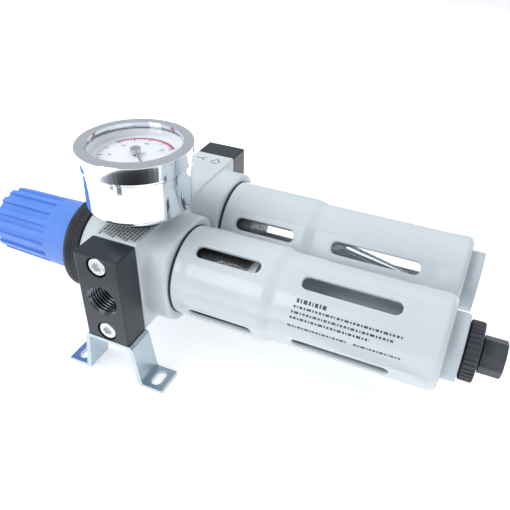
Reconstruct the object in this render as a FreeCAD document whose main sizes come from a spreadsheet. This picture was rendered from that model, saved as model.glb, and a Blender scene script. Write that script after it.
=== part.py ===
import FreeCAD, Part
import math
import os
import re
import Sketcher
from FreeCAD import Placement, Rotation, Vector

# Compressed-air service unit: a filter-regulator and a lubricator side by side between two
# port plates, on two bent feet. Millimetres, +Z up, origin on the floor under the port axis.
# +X runs from the regulator's knob to the bowls, +Y from the filter-regulator to the lubricator.

doc = FreeCAD.newDocument("air_service_unit")
sheet = doc.addObject("Spreadsheet::Sheet", "Sizes")

SIZES = (
    ("pitch", 40.0, "distance between the axes of the two units, and side of each body"),
    ("axis_height", 39.7, "height of both axes above the floor"),
    ("fit", 0.05, "radial running fit"),
    ("gap", 0.3, "clearance between pieces that move past each other"),
    ("over", 1.0, "how far a cutting tool runs past a face"),
    ("cutter_reach", 10.0, "how far a grooving tool stands out past its floor"),
    ("axial_play", 0.1, "end play of turning pieces"),
    # bodies
    ("block_width", 18.7, "width of the square port block, along the axis"),
    ("shoulder_half", 18.8, "half side of the rounded-square bowl end"),
    ("shoulder_corner", 12.3, "corner radius of the bowl end"),
    ("shoulder_reach", 20.0, "bowl end's face, from the port axis"),
    ("shoulder_edge", 2.0, "rounding round the bowl end's face"),
    ("collar_reach", 21.0, "other end's face, from the port axis"),
    ("collar_radius", 18.3, "round collar at that end"),
    ("socket_radius", 15.9, "socket for a bowl"),
    ("socket_floor", 5.5, "floor of the socket, from the port axis"),
    ("lug_track_radius", 17.3, "ring groove for the bayonet lugs"),
    ("chamber_radius", 15.2, "bore that takes the bonnet's skirt"),
    ("ledge", 11.3, "ledge that the diaphragm rests on, from the port axis"),
    ("chamber_floor", 8.0, "floor of the diaphragm chamber, from the port axis"),
    ("under_radius", 13.0, "diaphragm chamber under the ledge"),
    ("seat_bore", 6.0, "bore for the valve seat and the valve cap"),
    ("channel_radius", 5.0, "air channel in each body"),
    ("channel_depth", 12.0, "depth of each blind air channel"),
    ("cross_radius", 2.4, "drilling from a channel to a chamber"),
    ("cross_offset", 11.3, "its distance from the axis"),
    ("small_cross", 1.0, "radius of the small drillings, such as the gauge's"),
    ("drip_cross", 1.2, "radius of the lubricator's oil drilling"),
    # port plates and their screws
    ("plate_thickness", 11.8, "thickness of a port plate"),
    ("plate_height", 39.5, "height of a port plate"),
    ("plate_edge", 0.7, "rounding of its edges"),
    ("port_radius", 6.58, "G 1/4 thread, over its major diameter"),
    ("port_depth", 10.0, "length of the thread"),
    ("screw_spacing", 30.2, "between the two screws of a plate"),
    ("screw_radius", 2.0, "M4 shank"),
    ("screw_length", 16.0, "length under the head"),
    ("head_radius", 3.75, "screw head"),
    ("head_height", 3.0, "height of the head"),
    ("head_recess", 0.6, "head under the plate's face"),
    ("counterbore_radius", 4.25, "hole round the head"),
    ("socket_drive", 1.75, "six-lobe socket, to the lobes' centres"),
    ("socket_lobe", 0.55, "radius of a lobe"),
    ("socket_depth", 1.8, "depth of the socket"),
    ("head_edge", 0.5, "chamfer of the head"),
    ("screw_way", 0.25, "clearance round a shank in the plate"),
    ("seal_ring", 7.6, "mean radius of the flat seals between blocks"),
    ("seal_wire", 0.8, "half their width"),
    ("seal_thickness", 1.2, "their thickness"),
    # feet
    ("sheet_thickness", 1.45, "steel sheet of the feet"),
    ("foot_half", 22.2, "half length over both feet"),
    ("foot_start", 12.8, "foot's bend, from the port axis"),
    ("foot_blend", 0.6, "outer corner of the bend at the foot"),
    ("hip_corner", 1.2, "corner of the bend at the hip"),
    ("hip_inner", 0.6, "inside corner of the bend at the hip"),
    ("heel_edge", 0.5, "inside corner of the bend at the foot"),
    ("heel_back", 0.2, "leg's slant at that corner"),
    ("hip", 10.8, "leg's outside at the top, from the port axis"),
    ("slot_place", 17.5, "slot's centre, from the port axis"),
    ("slot_length", 8.0, "slot, end to end"),
    ("slot_half", 2.25, "half the slot's width"),
    ("foot_screw_place", 5.2, "bracket screws, from the port axis"),
    ("foot_screw_radius", 1.5, "M3 shank"),
    ("foot_screw_play", 0.15, "clearance round it in the strip"),
    ("foot_screw_head", 2.6, "head radius"),
    ("foot_screw_length", 7.0, "length under the head"),
    ("foot_screw_head_height", 1.9, "height of the head"),
    # bonnet, collar nut and knob
    ("nut_left", 28.3, "collar nut's outer face, from the port axis"),
    ("nut_radius", 19.5, "over the knurl"),
    ("nut_bore", 17.2, "collar nut's thread"),
    ("nut_lip", 0.9, "thickness of the lip round the knob"),
    ("nut_chamfer", 1.1, "chamfer on the nut's outer rim"),
    ("knurl_teeth", 72.0, "grooves round the collar nut"),
    ("knurl_depth", 0.45, "depth of a groove"),
    ("knurl_half", 0.3, "half its width"),
    ("neck_radius", 11.4, "bonnet's neck inside the knob"),
    ("neck_bore", 9.4, "bore of the neck"),
    ("neck_end", 50.0, "neck's end, from the port axis"),
    ("neck_floor", 2.0, "thickness of its end wall"),
    ("spindle_play", 0.2, "clearance round the spindle in it"),
    ("bonnet_roof", 2.0, "roof of the bonnet's wide part"),
    ("spring_room", 13.0, "bore of the bonnet's wide part"),
    ("knob_end", 69.0, "knob's end face, from the port axis"),
    ("knob_start", 27.8, "knob's open end, from the port axis"),
    ("knob_end_radius", 13.9, "knob's radius at its end face"),
    ("knob_radius", 14.6, "knob's radius at its open end"),
    ("knob_bore", 12.0, "inside of the knob"),
    ("knob_wall", 4.5, "end wall of the knob"),
    ("knob_edge", 1.2, "chamfer round its end face"),
    ("hub_radius", 5.6, "hub on the spindle"),
    ("hub_start", 53.8, "hub's open end, from the port axis"),
    ("groove_end", 42.4, "end of the grip grooves, from the port axis"),
    ("groove_count", 16.0, "grip grooves"),
    ("groove_depth", 0.8, "depth of a groove"),
    ("groove_half", 1.6, "half its width"),
    # spring side
    ("spindle_radius", 3.0, "adjusting spindle's thread"),
    ("spindle_end", 62.0, "spindle's driven end, from the port axis"),
    ("spindle_tip", 30.0, "its other end"),
    ("hex_radius", 2.9, "spindle's hexagon, over its corners"),
    ("drive_play", 0.5, "end clearance of the hexagon's hole"),
    ("stop_width", 1.9, "collar that stops the spindle"),
    ("stop_rim", 2.0, "how far it stands out"),
    ("disc_radius", 9.1, "spring nut"),
    ("disc_left", 44.0, "spring nut's outer face at rest, from the port axis"),
    ("disc_thickness", 4.0, "its thickness"),
    ("spring_mean", 7.0, "main spring's mean radius"),
    ("spring_wire", 0.9, "its wire's radius"),
    ("spring_turns", 8.0, "its turns"),
    ("cup_left", 14.5, "diaphragm plate's spring side, from the port axis"),
    ("cup_radius", 11.5, "diaphragm plate"),
    ("rubber", 1.2, "diaphragm's thickness"),
    ("boss_radius", 2.5, "diaphragm plate's boss"),
    ("boss_tip", 9.6, "its tip, from the port axis"),
    # valve
    ("seat_face", 2.0, "valve seat's lip, from the port axis"),
    ("seat_hole", 2.5, "hole in the seat"),
    ("seat_lip", 1.0, "seat's lip, height and width at its root"),
    ("seat_lip_top", 0.4, "its width at the top"),
    ("poppet_radius", 4.4, "poppet's head"),
    ("poppet_thickness", 2.5, "its thickness"),
    ("poppet_pin", 1.0, "pin that meets the boss"),
    ("tail_radius", 2.0, "poppet's guide tail"),
    ("tail_end", 6.5, "its end, from the port axis"),
    ("valve_spring_mean", 3.4, "valve spring's mean radius"),
    ("valve_spring_wire", 0.35, "its wire's radius"),
    ("valve_spring_turns", 3.0, "its turns"),
    ("cap_left", 1.5, "valve cap's seat side, from the port axis"),
    ("cap_right", 10.0, "its bowl side"),
    ("cap_flange", 8.0, "its flange"),
    ("cap_floor", 0.5, "room past the poppet's tail"),
    ("valve_travel", 1.0, "opening of the valve"),
    # filter
    ("rod_radius", 2.0, "rod that holds the filter stack"),
    ("vane_radius", 13.0, "swirl vanes"),
    ("vane_right", 14.0, "swirl disc's bowl side, from the port axis"),
    ("vane_count", 8.0, "vanes"),
    ("vane_depth", 3.0, "depth of the gaps between them"),
    ("vane_half", 1.5, "half the width of a gap"),
    ("element_radius", 9.5, "filter element"),
    ("element_bore", 6.5, "its bore"),
    ("element_right", 46.0, "its bowl side, from the port axis"),
    ("baffle_radius", 12.2, "quiet-zone baffle"),
    ("baffle_right", 50.0, "its bowl side"),
    ("baffle_rim", 1.0, "width of its rim"),
    ("rod_head_rim", 2.0, "how far the rod's head stands out"),
    ("rod_head", 3.0, "its thickness"),
    # bowls
    ("bowl_left", 6.2, "bowl's open end, from the port axis"),
    ("bowl_neck", 15.7, "neck flange"),
    ("bowl_flange_right", 9.4, "neck flange's bowl side"),
    ("bowl_radius", 14.8, "bowl, near its neck"),
    ("bowl_foot_radius", 14.2, "bowl, near its foot"),
    ("bowl_wall", 1.6, "wall of a bowl"),
    ("bowl_waist", 60.0, "where it narrows, from the port axis"),
    ("waist_half", 2.0, "half length of that taper"),
    ("waist_drop", 0.3, "its depth"),
    ("bowl_foot", 108.0, "start of its foot"),
    ("bowl_floor", 112.0, "end of its foot"),
    ("bowl_inner_foot", 4.0, "inside of the foot starts before it"),
    ("bowl_inner_lip", 1.0, "its rounded floor"),
    ("spigot_radius", 12.0, "spigot through the guard's end"),
    ("spigot_end", 125.0, "spigot's face, from the port axis"),
    ("oring_groove", 14.25, "bottom of the neck's seal groove"),
    ("oring_wire", 0.8, "bowl seal's section radius"),
    ("oring_room", 0.1, "groove's extra width"),
    ("oring_left", 7.0, "groove's left side, from the port axis"),
    # guards
    ("ring_width", 0.9, "black cushion ring under a guard"),
    ("ring_over", 0.1, "how far it stands out past the guard"),
    ("guard_left", 21.1, "guard's visible end, from the port axis"),
    ("guard_shoulder", 2.0, "length of its thick end"),
    ("guard_flare", 4.0, "its flare, before the first windows"),
    ("guard_neck", 15.7, "its neck in the socket"),
    ("guard_neck_bore", 15.1, "bore of the neck"),
    ("lug_left", 12.5, "bayonet lugs, from the port axis"),
    ("lug_width", 2.5, "their width"),
    ("lug_reach", 17.0, "their outer radius"),
    ("lug_radius", 1.4, "their own radius"),
    ("lug_first", 60.0, "first lug's direction, degrees"),
    ("lug_turn", 40.0, "turn that locks a guard, degrees"),
    ("guard_rim", 17.9, "guard's radius at its visible end"),
    ("guard_radius", 18.3, "wide part of a guard"),
    ("guard_bore", 16.5, "its bore"),
    ("guard_narrow", 17.2, "narrow part of a guard"),
    ("guard_narrow_bore", 15.6, "its bore"),
    ("guard_step_start", 57.0, "start of the step between them"),
    ("guard_step_end", 61.0, "end of the step"),
    ("guard_end", 120.0, "guard's end face, from the port axis"),
    ("guard_end_wall", 2.2, "end wall"),
    ("guard_corner", 2.4, "rounding of the end"),
    ("corner_share", 0.293, "share of a rounding left at its middle"),
    ("window_half", 2.6, "half a window's width"),
    ("window_one_left", 27.4, "first row of windows, from the port axis"),
    ("window_one_right", 52.9, "its other end"),
    ("window_two_left", 68.8, "second row of windows"),
    ("window_two_right", 103.8, "its other end"),
    ("window_corner", 2.2, "rounding of a window's corners"),
    ("filter_guard_turn", 25.5, "windows' angle on the filter side, degrees"),
    ("oiler_guard_turn", 58.0, "windows' angle on the lubricator side, degrees"),
    # drain
    ("drain_bore", 4.1, "drain hole in the bowl"),
    ("drain_shank", 4.05, "drain wheel's threaded shank"),
    ("drain_shank_left", 113.0, "its inner end, from the port axis"),
    ("drain_hole", 2.0, "hole through the drain"),
    ("drain_left", 125.4, "drain wheel, from the port axis"),
    ("drain_right", 130.2, "its other face"),
    ("drain_radius", 10.5, "over its knurl"),
    ("drain_edge", 0.5, "chamfer of its faces"),
    ("drain_teeth", 36.0, "grooves round it"),
    ("drain_depth", 0.5, "depth of a groove"),
    ("drain_half", 0.4, "half its width"),
    ("outlet_radius", 6.6, "outlet nozzle, over its corners"),
    ("outlet_waist", 1.4, "how much less its neck has"),
    ("outlet_left", 130.8, "its wide part, from the port axis"),
    ("outlet_right", 138.3, "its end face"),
    ("plunger_radius", 3.0, "drain plunger"),
    ("plunger_rim", 2.5, "how far its head stands out"),
    ("plunger_head", 1.5, "its head's thickness"),
    ("plunger_left", 106.0, "its inner end, from the port axis"),
    # gauge
    ("gauge_offset", 0.8, "gauge axis, from the port axis"),
    ("gauge_port", 4.9, "gauge thread in the body"),
    ("gauge_port_depth", 12.0, "its depth"),
    ("stem_short", 2.0, "thread's end above the hole's floor"),
    ("stem_hole", 1.0, "hole through the stem"),
    ("washer_height", 3.0, "gauge washer"),
    ("washer_rim", 4.0, "how far it stands out past the square"),
    ("stem_inside", 2.0, "how much narrower the stem is in the case"),
    ("stem_reach", 3.0, "how far it goes in"),
    ("stem_square", 6.5, "gauge stem's square, over its corners"),
    ("case_lift", 5.7, "gauge case's back, above the block"),
    ("case_bottom", "=axis_height + pitch / 2 + case_lift", "its height above the floor"),
    ("case_radius", 20.2, "gauge case"),
    ("case_corner", 2.2, "rounding of its back"),
    ("case_wall", 1.2, "its sheet"),
    ("bezel_lift", 16.9, "bezel's lower edge, from the case's back"),
    ("bezel_bottom", "=case_bottom + bezel_lift", "its height above the floor"),
    ("gauge_depth", 25.1, "bezel's top, from the case's back"),
    ("bezel_top", "=case_bottom + gauge_depth", "its height above the floor"),
    ("bezel_radius", 20.8, "bezel"),
    ("bezel_opening", 17.6, "its opening"),
    ("bezel_wall", 1.0, "thickness of the bezel's lip"),
    ("bezel_round", 1.3, "rounding of the bezel's top"),
    ("bezel_round_middle", 0.4, "that rounding at its middle"),
    ("bezel_inner_round", 0.6, "rounding of the opening"),
    ("bezel_ledge", 0.7, "thickness of the lip over the glass"),
    ("bezel_gap", 0.2, "seam between case and bezel"),
    ("seat_rim", 0.9, "case's rim under the bezel"),
    ("glass_seat", 0.8, "rim's end under the glass"),
    ("glass_play", 0.1, "clearance round the glass"),
    ("dial_lift", 18.6, "dial's face, from the case's back"),
    ("dial_height", "=case_bottom + dial_lift", "its height above the floor"),
    ("dial_radius", 18.6, "dial"),
    ("dial_thickness", 0.6, "its thickness"),
    ("glass_lift", 21.8, "gauge glass, from the case's back"),
    ("glass_bottom", "=case_bottom + glass_lift", "its height above the floor"),
    ("glass_thickness", 1.6, "its thickness"),
    ("glass_radius", 19.1, "its radius"),
    ("pointer_length", 13.0, "pointer's reach"),
    ("pointer_tail", 4.0, "its tail"),
    ("tail_half", 1.1, "half the tail's width"),
    ("waist_width", 0.6, "half its width at the hub"),
    ("tip_half", 0.15, "half its tip"),
    ("needle_sheet", 0.4, "its thickness"),
    ("hub_cap", 2.0, "radius of its cap"),
    ("hub_cap_height", 1.4, "top of the cap over the needle's underside"),
    ("pointer_lift", 1.2, "its underside, above the dial"),
    ("pointer_height", "=dial_height + pointer_lift", "its height above the floor"),
    ("pointer_rest", 135.0, "its rest direction, degrees left of the dial's up"),
    ("quadrant_rest", 22.0, "quadrant's rest direction, degrees short of its middle"),
    ("quadrant_place", 10.0, "quadrant's arbor, from the pointer's"),
    ("quadrant_half", 4.2, "half its width, which its outline takes shares of"),
    ("quadrant_sheet", 1.2, "quadrant's thickness"),
    ("quadrant_drop", 4.0, "its underside, below the dial"),
    ("pinion_radius", 1.4, "pinion on the pointer's arbor"),
    ("pinion_low", 4.2, "its underside, below the dial"),
    ("pinion_high", 2.6, "its top, below the dial"),
    ("arbor_low", 6.5, "both arbors' ends, below the dial"),
    ("quadrant_arbor", 0.8, "radius of the quadrant's arbor"),
    ("bridge_low", 7.0, "bridge's underside, below the dial"),
    ("bridge_sheet", 1.0, "its thickness"),
    ("bridge_half", 4.0, "half its width"),
    ("bridge_past", 3.0, "bridge past the quadrant's arbor"),
    ("bridge_near", 5.0, "bridge past the pointer's arbor"),
    ("post_radius", 1.2, "post under the bridge"),
    ("post_offset", 2.6, "its place, from the pointer's arbor"),
    ("arm_radius", 0.7, "arm from the post to the Bourdon tube"),
    ("bourdon_inset", 4.2, "Bourdon tube's middle, inside the dial's rim"),
    ("bourdon_radius", 1.3, "its section"),
    ("bourdon_height", 5.0, "its middle, above the case's back"),
    ("bourdon_sweep", 250.0, "how far it goes round, degrees"),
    ("arbor_radius", 0.6, "pointer's arbor"),
    # lubricator
    ("dome_flange", 14.5, "sight dome's flange"),
    ("dome_radius", 12.0, "sight dome"),
    ("dome_thread", 11.9, "its thread"),
    ("dome_end", 42.0, "its end, from the port axis"),
    ("dome_wall", 1.8, "its wall"),
    ("dome_corner", 3.0, "chamfer of its end"),
    ("dome_flange_width", 2.5, "thickness of its flange"),
    ("dome_seal_width", 1.0, "seal under it"),
    ("dome_inner", 1.0, "inside of its end wall, past the wall"),
    ("needle_radius", 4.4, "oil screw's head"),
    ("needle_end", 47.0, "its end, from the port axis"),
    ("needle_shank", 2.0, "oil screw's shank"),
    ("needle_fit", 0.05, "its clearance in the dome"),
    ("needle_taper", 3.0, "length of its point"),
    ("needle_reach", 12.0, "its tip, inside the dome's end"),
    ("needle_tip", 0.4, "radius of its tip"),
    ("slot_deep", 1.4, "depth of its slot"),
    ("slot_wide", 0.5, "half the slot's width"),
    ("nozzle_start", 14.0, "drip nozzle, inside the dome's end"),
    ("nozzle_radius", 1.6, "its radius"),
    ("nozzle_bore", 0.7, "its bore"),
    ("core_radius", 11.0, "oil pick-up core in the bowl"),
    ("core_right", 32.0, "its end, from the port axis"),
    ("core_bore", 1.0, "its bore"),
    ("siphon_radius", 1.9, "siphon tube"),
    ("siphon_bore", 1.1, "its bore"),
    ("siphon_start", 3.4, "its straight start, off the axis"),
    ("siphon_bend", 60.0, "radius of its bend"),
    ("siphon_knee", 2.0, "its bend starts before the waist"),
    ("siphon_short", 8.0, "its end, before the bowl's foot"),
    ("siphon_drop", 5.0, "its far end, off the axis on the other side"),
    ("siphon_lean", 53.0, "direction of both offsets, degrees above the horizontal"),
    ("strainer_radius", 3.0, "strainer on the siphon tube"),
    ("strainer_length", 4.0, "its length"),
    ("flap_radius", 4.2, "flow flap"),
    ("flap_thickness", 0.8, "its thickness"),
    ("flap_place", 9.0, "its place, from the lubricator's near face"),
    ("flap_pivot", 4.0, "its pivot, above the axis"),
    ("flap_pin", 0.5, "radius of the pivot's pin"),
    ("flap_pin_half", 3.8, "half the pin's length"),
)

for row, (alias, size, note) in enumerate(SIZES, start=1):
    sheet.set("A%d" % row, alias)
    sheet.set("B%d" % row, str(size))
    sheet.set("C%d" % row, note)
    sheet.setAlias("B%d" % row, alias)
doc.recompute()

NAMES = {alias for alias, size, note in SIZES}
WORD = re.compile(r"[a-z][a-z_]*")

# Each unit's axis: where it starts, and the turn that lays a part's own X axis along it.
ALONG_X = Rotation()
ALONG_Z = Rotation(Vector(0, 1, 0), -90)
AXES = {
    "filter": ("0", "-pitch / 2", "axis_height", ALONG_X),
    "oiler": ("0", "pitch / 2", "axis_height", ALONG_X),
    "gauge": ("-gauge_offset", "-pitch / 2", "0", ALONG_Z),
}


# ---------------------------------------------------------------- drawing helpers

def bind(text):
    """Point every size named in an expression at its cell."""
    return WORD.sub(lambda word: "Sizes." + word.group() if word.group() in NAMES else word.group(), text)


def number(text):
    """The value of an expression of named sizes."""
    return float(sheet.evalExpression(text))


def hold(part, prop, text):
    """Bind one property of an object to the sheet."""
    part.setExpression(prop, bind(text))


def place(part, spot, turn=Rotation()):
    """Give a part its turn, and bind its position to the sheet."""
    part.Placement = Placement(Vector(*(number(text) for text in spot)), turn)
    for direction, text in zip("xyz", spot):
        hold(part, "Placement.Base." + direction, text)


def seat(part, unit, roll=0.0):
    """Put a part's own X axis on a unit's axis, rolled about it by an angle in degrees."""
    along, across, up, turn = AXES[unit]
    place(part, (along, across, up), turn * Rotation(Vector(1, 0, 0), roll))


def origin_plane(body, role):
    """A plane or axis of a body's own origin."""
    return next(item for item in body.Origin.OriginFeatures if item.Role == role)


def new_sketch(body, name, role):
    """An empty sketch on one of a body's origin planes."""
    sketch = body.newObject("Sketcher::SketchObject", name)
    sketch.AttachmentSupport = (origin_plane(body, role), [""])
    sketch.MapMode = "FlatFace"
    return sketch


def outline(body, name, role, corners):
    """A closed outline of straight lines, every corner held by a pair of expressions."""
    sketch = new_sketch(body, name, role)
    points = [Vector(number(across), number(up), 0) for across, up in corners]
    sketch.addGeometry([Part.LineSegment(a, b) for a, b in zip(points, points[1:] + points[:1])])
    rules = []
    for index, (across, up) in enumerate(corners):
        rules.append(Sketcher.Constraint("Coincident", index, 2, (index + 1) % len(corners), 1))
        rules.append(Sketcher.Constraint("DistanceX", -1, 1, index, 1, number(across)))
        rules.append(Sketcher.Constraint("DistanceY", -1, 1, index, 1, number(up)))
    sketch.addConstraint(rules)
    for index, (across, up) in enumerate(corners):
        hold(sketch, "Constraints[%d]" % (3 * index + 1), across)
        hold(sketch, "Constraints[%d]" % (3 * index + 2), up)
    return sketch


def circles(body, name, role, rounds):
    """Circles given as (across, up, radius) expressions."""
    sketch = new_sketch(body, name, role)
    rules = []
    for index, (across, up, radius) in enumerate(rounds):
        centre = Vector(number(across), number(up), 0)
        sketch.addGeometry(Part.Circle(centre, Vector(0, 0, 1), number(radius)))
        rules.append(Sketcher.Constraint("DistanceX", -1, 1, index, 3, centre.x))
        rules.append(Sketcher.Constraint("DistanceY", -1, 1, index, 3, centre.y))
        rules.append(Sketcher.Constraint("Radius", index, number(radius)))
    sketch.addConstraint(rules)
    for index, texts in enumerate(rounds):
        for offset, text in enumerate(texts):
            hold(sketch, "Constraints[%d]" % (3 * index + offset), text)
    return sketch


def rounded_box(body, name, role, across, up, corner):
    """A rectangle between two pairs of expressions, with its corners rounded by tangent arcs."""
    sketch = new_sketch(body, name, role)
    left, right = (number(text) for text in across)
    low, high = (number(text) for text in up)
    radius = number(corner)
    middles = (
        Vector(right - radius, low + radius, 0),
        Vector(right - radius, high - radius, 0),
        Vector(left + radius, high - radius, 0),
        Vector(left + radius, low + radius, 0),
    )
    arcs = [
        Part.ArcOfCircle(Part.Circle(middle, Vector(0, 0, 1), radius),
                         math.radians(90 * index - 90), math.radians(90 * index))
        for index, middle in enumerate(middles)
    ]
    sides = [Part.LineSegment(arcs[index - 1].EndPoint, arcs[index].StartPoint) for index in range(4)]
    sketch.addGeometry(sides + arcs)
    rules = []
    for index in range(4):
        rules.append(Sketcher.Constraint("Tangent", index, 2, 4 + index, 1))
        rules.append(Sketcher.Constraint("Tangent", 4 + index, 2, (index + 1) % 4, 1))
        rules.append(Sketcher.Constraint("Vertical" if index % 2 else "Horizontal", index))
    for index in range(1, 4):
        rules.append(Sketcher.Constraint("Equal", 4, 4 + index))
    driven = len(rules)
    rules += [
        Sketcher.Constraint("Radius", 4, radius),
        Sketcher.Constraint("DistanceY", -1, 1, 0, 1, low),
        Sketcher.Constraint("DistanceX", -1, 1, 1, 1, right),
        Sketcher.Constraint("DistanceY", -1, 1, 2, 1, high),
        Sketcher.Constraint("DistanceX", -1, 1, 3, 1, left),
    ]
    sketch.addConstraint(rules)
    for offset, text in enumerate((corner, up[0], across[1], up[1], across[0])):
        hold(sketch, "Constraints[%d]" % (driven + offset), text)
    return sketch


def turned(label, unit, corners, roll=0.0):
    """A piece turned about a unit's axis from an outline of (along, radius) expressions."""
    body = doc.addObject("PartDesign::Body", label)
    profile = outline(body, label + "_profile", "XY_Plane", corners)
    lathe = body.newObject("PartDesign::Revolution", label + "_turning")
    lathe.Profile = profile
    lathe.ReferenceAxis = (profile, ["H_Axis"])
    lathe.Angle = 360
    seat(body, unit, roll)
    return body


def washer(label, unit, left, right, outer, inner="0"):
    """A plain disc, ring or tube between two places along a unit's axis."""
    return turned(label, unit, ((left, inner), (right, inner), (right, outer), (left, outer)))


def padded(label, role, corners, length, both_ways=False):
    """A body padded from one straight-sided outline."""
    body = doc.addObject("PartDesign::Body", label)
    pad = body.newObject("PartDesign::Pad", label + "_pad")
    pad.Profile = outline(body, label + "_outline", role, corners)
    pad.Midplane = both_ways
    hold(pad, "Length", length)
    return body


def pocket(body, sketch, depth, backwards=False, both_ways=False):
    """Cut a sketch into a body; a cut that removes nothing is an error."""
    doc.recompute()
    before = body.Shape.Volume
    cut = body.newObject("PartDesign::Pocket", sketch.Name + "_cut")
    cut.Profile = sketch
    cut.Reversed = backwards
    cut.Midplane = both_ways
    hold(cut, "Length", depth)
    doc.recompute()
    if body.Shape.Volume >= before - 1e-6:
        raise RuntimeError(cut.Name + " removes nothing")
    return cut


def repeat_round(body, features, count):
    """Repeat features evenly round a body's own X axis."""
    pattern = body.newObject("PartDesign::PolarPattern", features[0].Name + "_ring")
    pattern.Originals = features
    pattern.Axis = (origin_plane(body, "X_Axis"), [""])
    pattern.Angle = 360
    hold(pattern, "Occurrences", count)
    body.Tip = pattern
    return pattern


def grooved(body, name, floors, half_width, left, right, count):
    """Cut flat-bottomed grooves along a turned body, evenly round it; floors are the end radii."""
    sketch = outline(body, name, "XY_Plane", (
        (left, floors[0]),
        (right, floors[1]),
        (right, floors[1] + " + cutter_reach"),
        (left, floors[0] + " + cutter_reach"),
    ))
    cut = pocket(body, sketch, "2 * " + half_width, both_ways=True)
    return repeat_round(body, [cut], count)


def primitive(kind, name, sizes, spot, turn=Rotation()):
    """A Part primitive with its sizes and its position bound to the sheet."""
    part = doc.addObject("Part::" + kind, name)
    for prop, text in sizes.items():
        hold(part, prop, text)
    place(part, spot, turn)
    return part


def bar_x(name, unit, left, right, radius, across="0", up="0"):
    """A round bar along X, placed from a unit's axis."""
    along, unit_across, unit_up, turn = AXES[unit]
    spot = (left, unit_across + " + " + across, unit_up + " + " + up)
    sizes = {"Radius": radius, "Height": right + " - (" + left + ")"}
    return primitive("Cylinder", name, sizes, spot, Rotation(Vector(0, 1, 0), 90))


def bar_y(name, near, far, radius, along="0", up="axis_height"):
    """A round bar along Y."""
    sizes = {"Radius": radius, "Height": far + " - (" + near + ")"}
    return primitive("Cylinder", name, sizes, (along, near, up), Rotation(Vector(1, 0, 0), -90))


def bar_z(name, low, high, radius, along="0", across="0"):
    """A round bar along Z."""
    sizes = {"Radius": radius, "Height": high + " - (" + low + ")"}
    return primitive("Cylinder", name, sizes, (along, across, low))


def joined(label, parts):
    """Several solids fused into one piece."""
    fuse = doc.addObject("Part::MultiFuse", label)
    fuse.Shapes = parts
    fuse.Refine = True
    return fuse


def cut_away(label, base, tool):
    """A piece with another solid cut out of it."""
    cut = doc.addObject("Part::Cut", label)
    cut.Base = base
    cut.Tool = tool
    cut.Refine = True
    return cut


def group_of(label, parts):
    """Identical pieces kept as separate solids in one node."""
    group = doc.addObject("Part::Compound", label)
    group.Links = parts
    return group


def o_ring(label, unit, at, mean, wire):
    """A round-section seal on a unit's axis."""
    along, across, up, turn = AXES[unit]
    quarter = Rotation(Vector(0, 1, 0), 90)
    sizes = {"Radius1": mean, "Radius2": wire}
    return primitive("Torus", label, sizes, (at, across, up), quarter)


def coil_spring(label, unit, left, right, mean, wire, turns):
    """A compression spring between two places: a wire swept along a helix on the unit's axis."""
    coil = number(mean)
    thick = number(wire)
    start = number(left) + thick
    length = number(right) - number(left) - 2 * thick
    helix = Part.makeHelix(length / turns, length, coil)
    section = Part.Wire(Part.makeCircle(thick, Vector(coil, 0, 0), Vector(0, 1, 0)))
    spring = doc.addObject("Part::Feature", label)
    spring.Shape = Part.Wire(helix).makePipeShell([section], True, True)
    along, across, up, turn = AXES[unit]
    spring.Placement = Placement(Vector(start, number(across), number(up)), Rotation(Vector(0, 1, 0), 90))
    return spring


def bent_tube(label, points, bend, outer, inner):
    """A round tube along straight runs joined by one tangent arc, with its bore open at both ends."""
    start, corner, end = points
    back = (start - corner).normalize()
    on = (end - corner).normalize()
    half_turn = (math.pi - back.getAngle(on)) / 2
    setback = bend * math.tan(half_turn)
    enter = corner + back * setback
    leave = corner + on * setback
    middle_way = (back + on).normalize()
    middle = corner + middle_way * (bend / math.cos(half_turn) - bend)
    route = Part.Wire([
        Part.makeLine(start, enter),
        Part.Arc(enter, middle, leave).toShape(),
        Part.makeLine(leave, end),
    ])
    skins = []
    for radius in (outer, inner):
        section = Part.Wire(Part.makeCircle(radius, start, corner - start))
        skins.append(route.makePipeShell([section], True, False))
    tube = doc.addObject("Part::Feature", label)
    tube.Shape = skins[0].cut(skins[1])
    return tube


def flat_seal(label, start):
    """A flat ring round the air way, between two blocks; it starts at a place along Y."""
    ring = washer(label, "filter", "0", "seal_thickness", "seal_ring + seal_wire",
                  "seal_ring - seal_wire")
    place(ring, ("0", start, "axis_height"), Rotation(Vector(0, 0, 1), 90))
    return ring


# ---------------------------------------------------------------- die-cast bodies

def lug_bar(name, unit, left, right, radius, angle):
    """A round bar along X where a bayonet lug sits, at an angle in degrees round a unit's axis."""
    reach = "(lug_reach - lug_radius)"
    return bar_x(name, unit, left, right, radius,
                 "%s * sin(%s)" % (reach, angle), "%s * cos(%s)" % (reach, angle))


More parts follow.
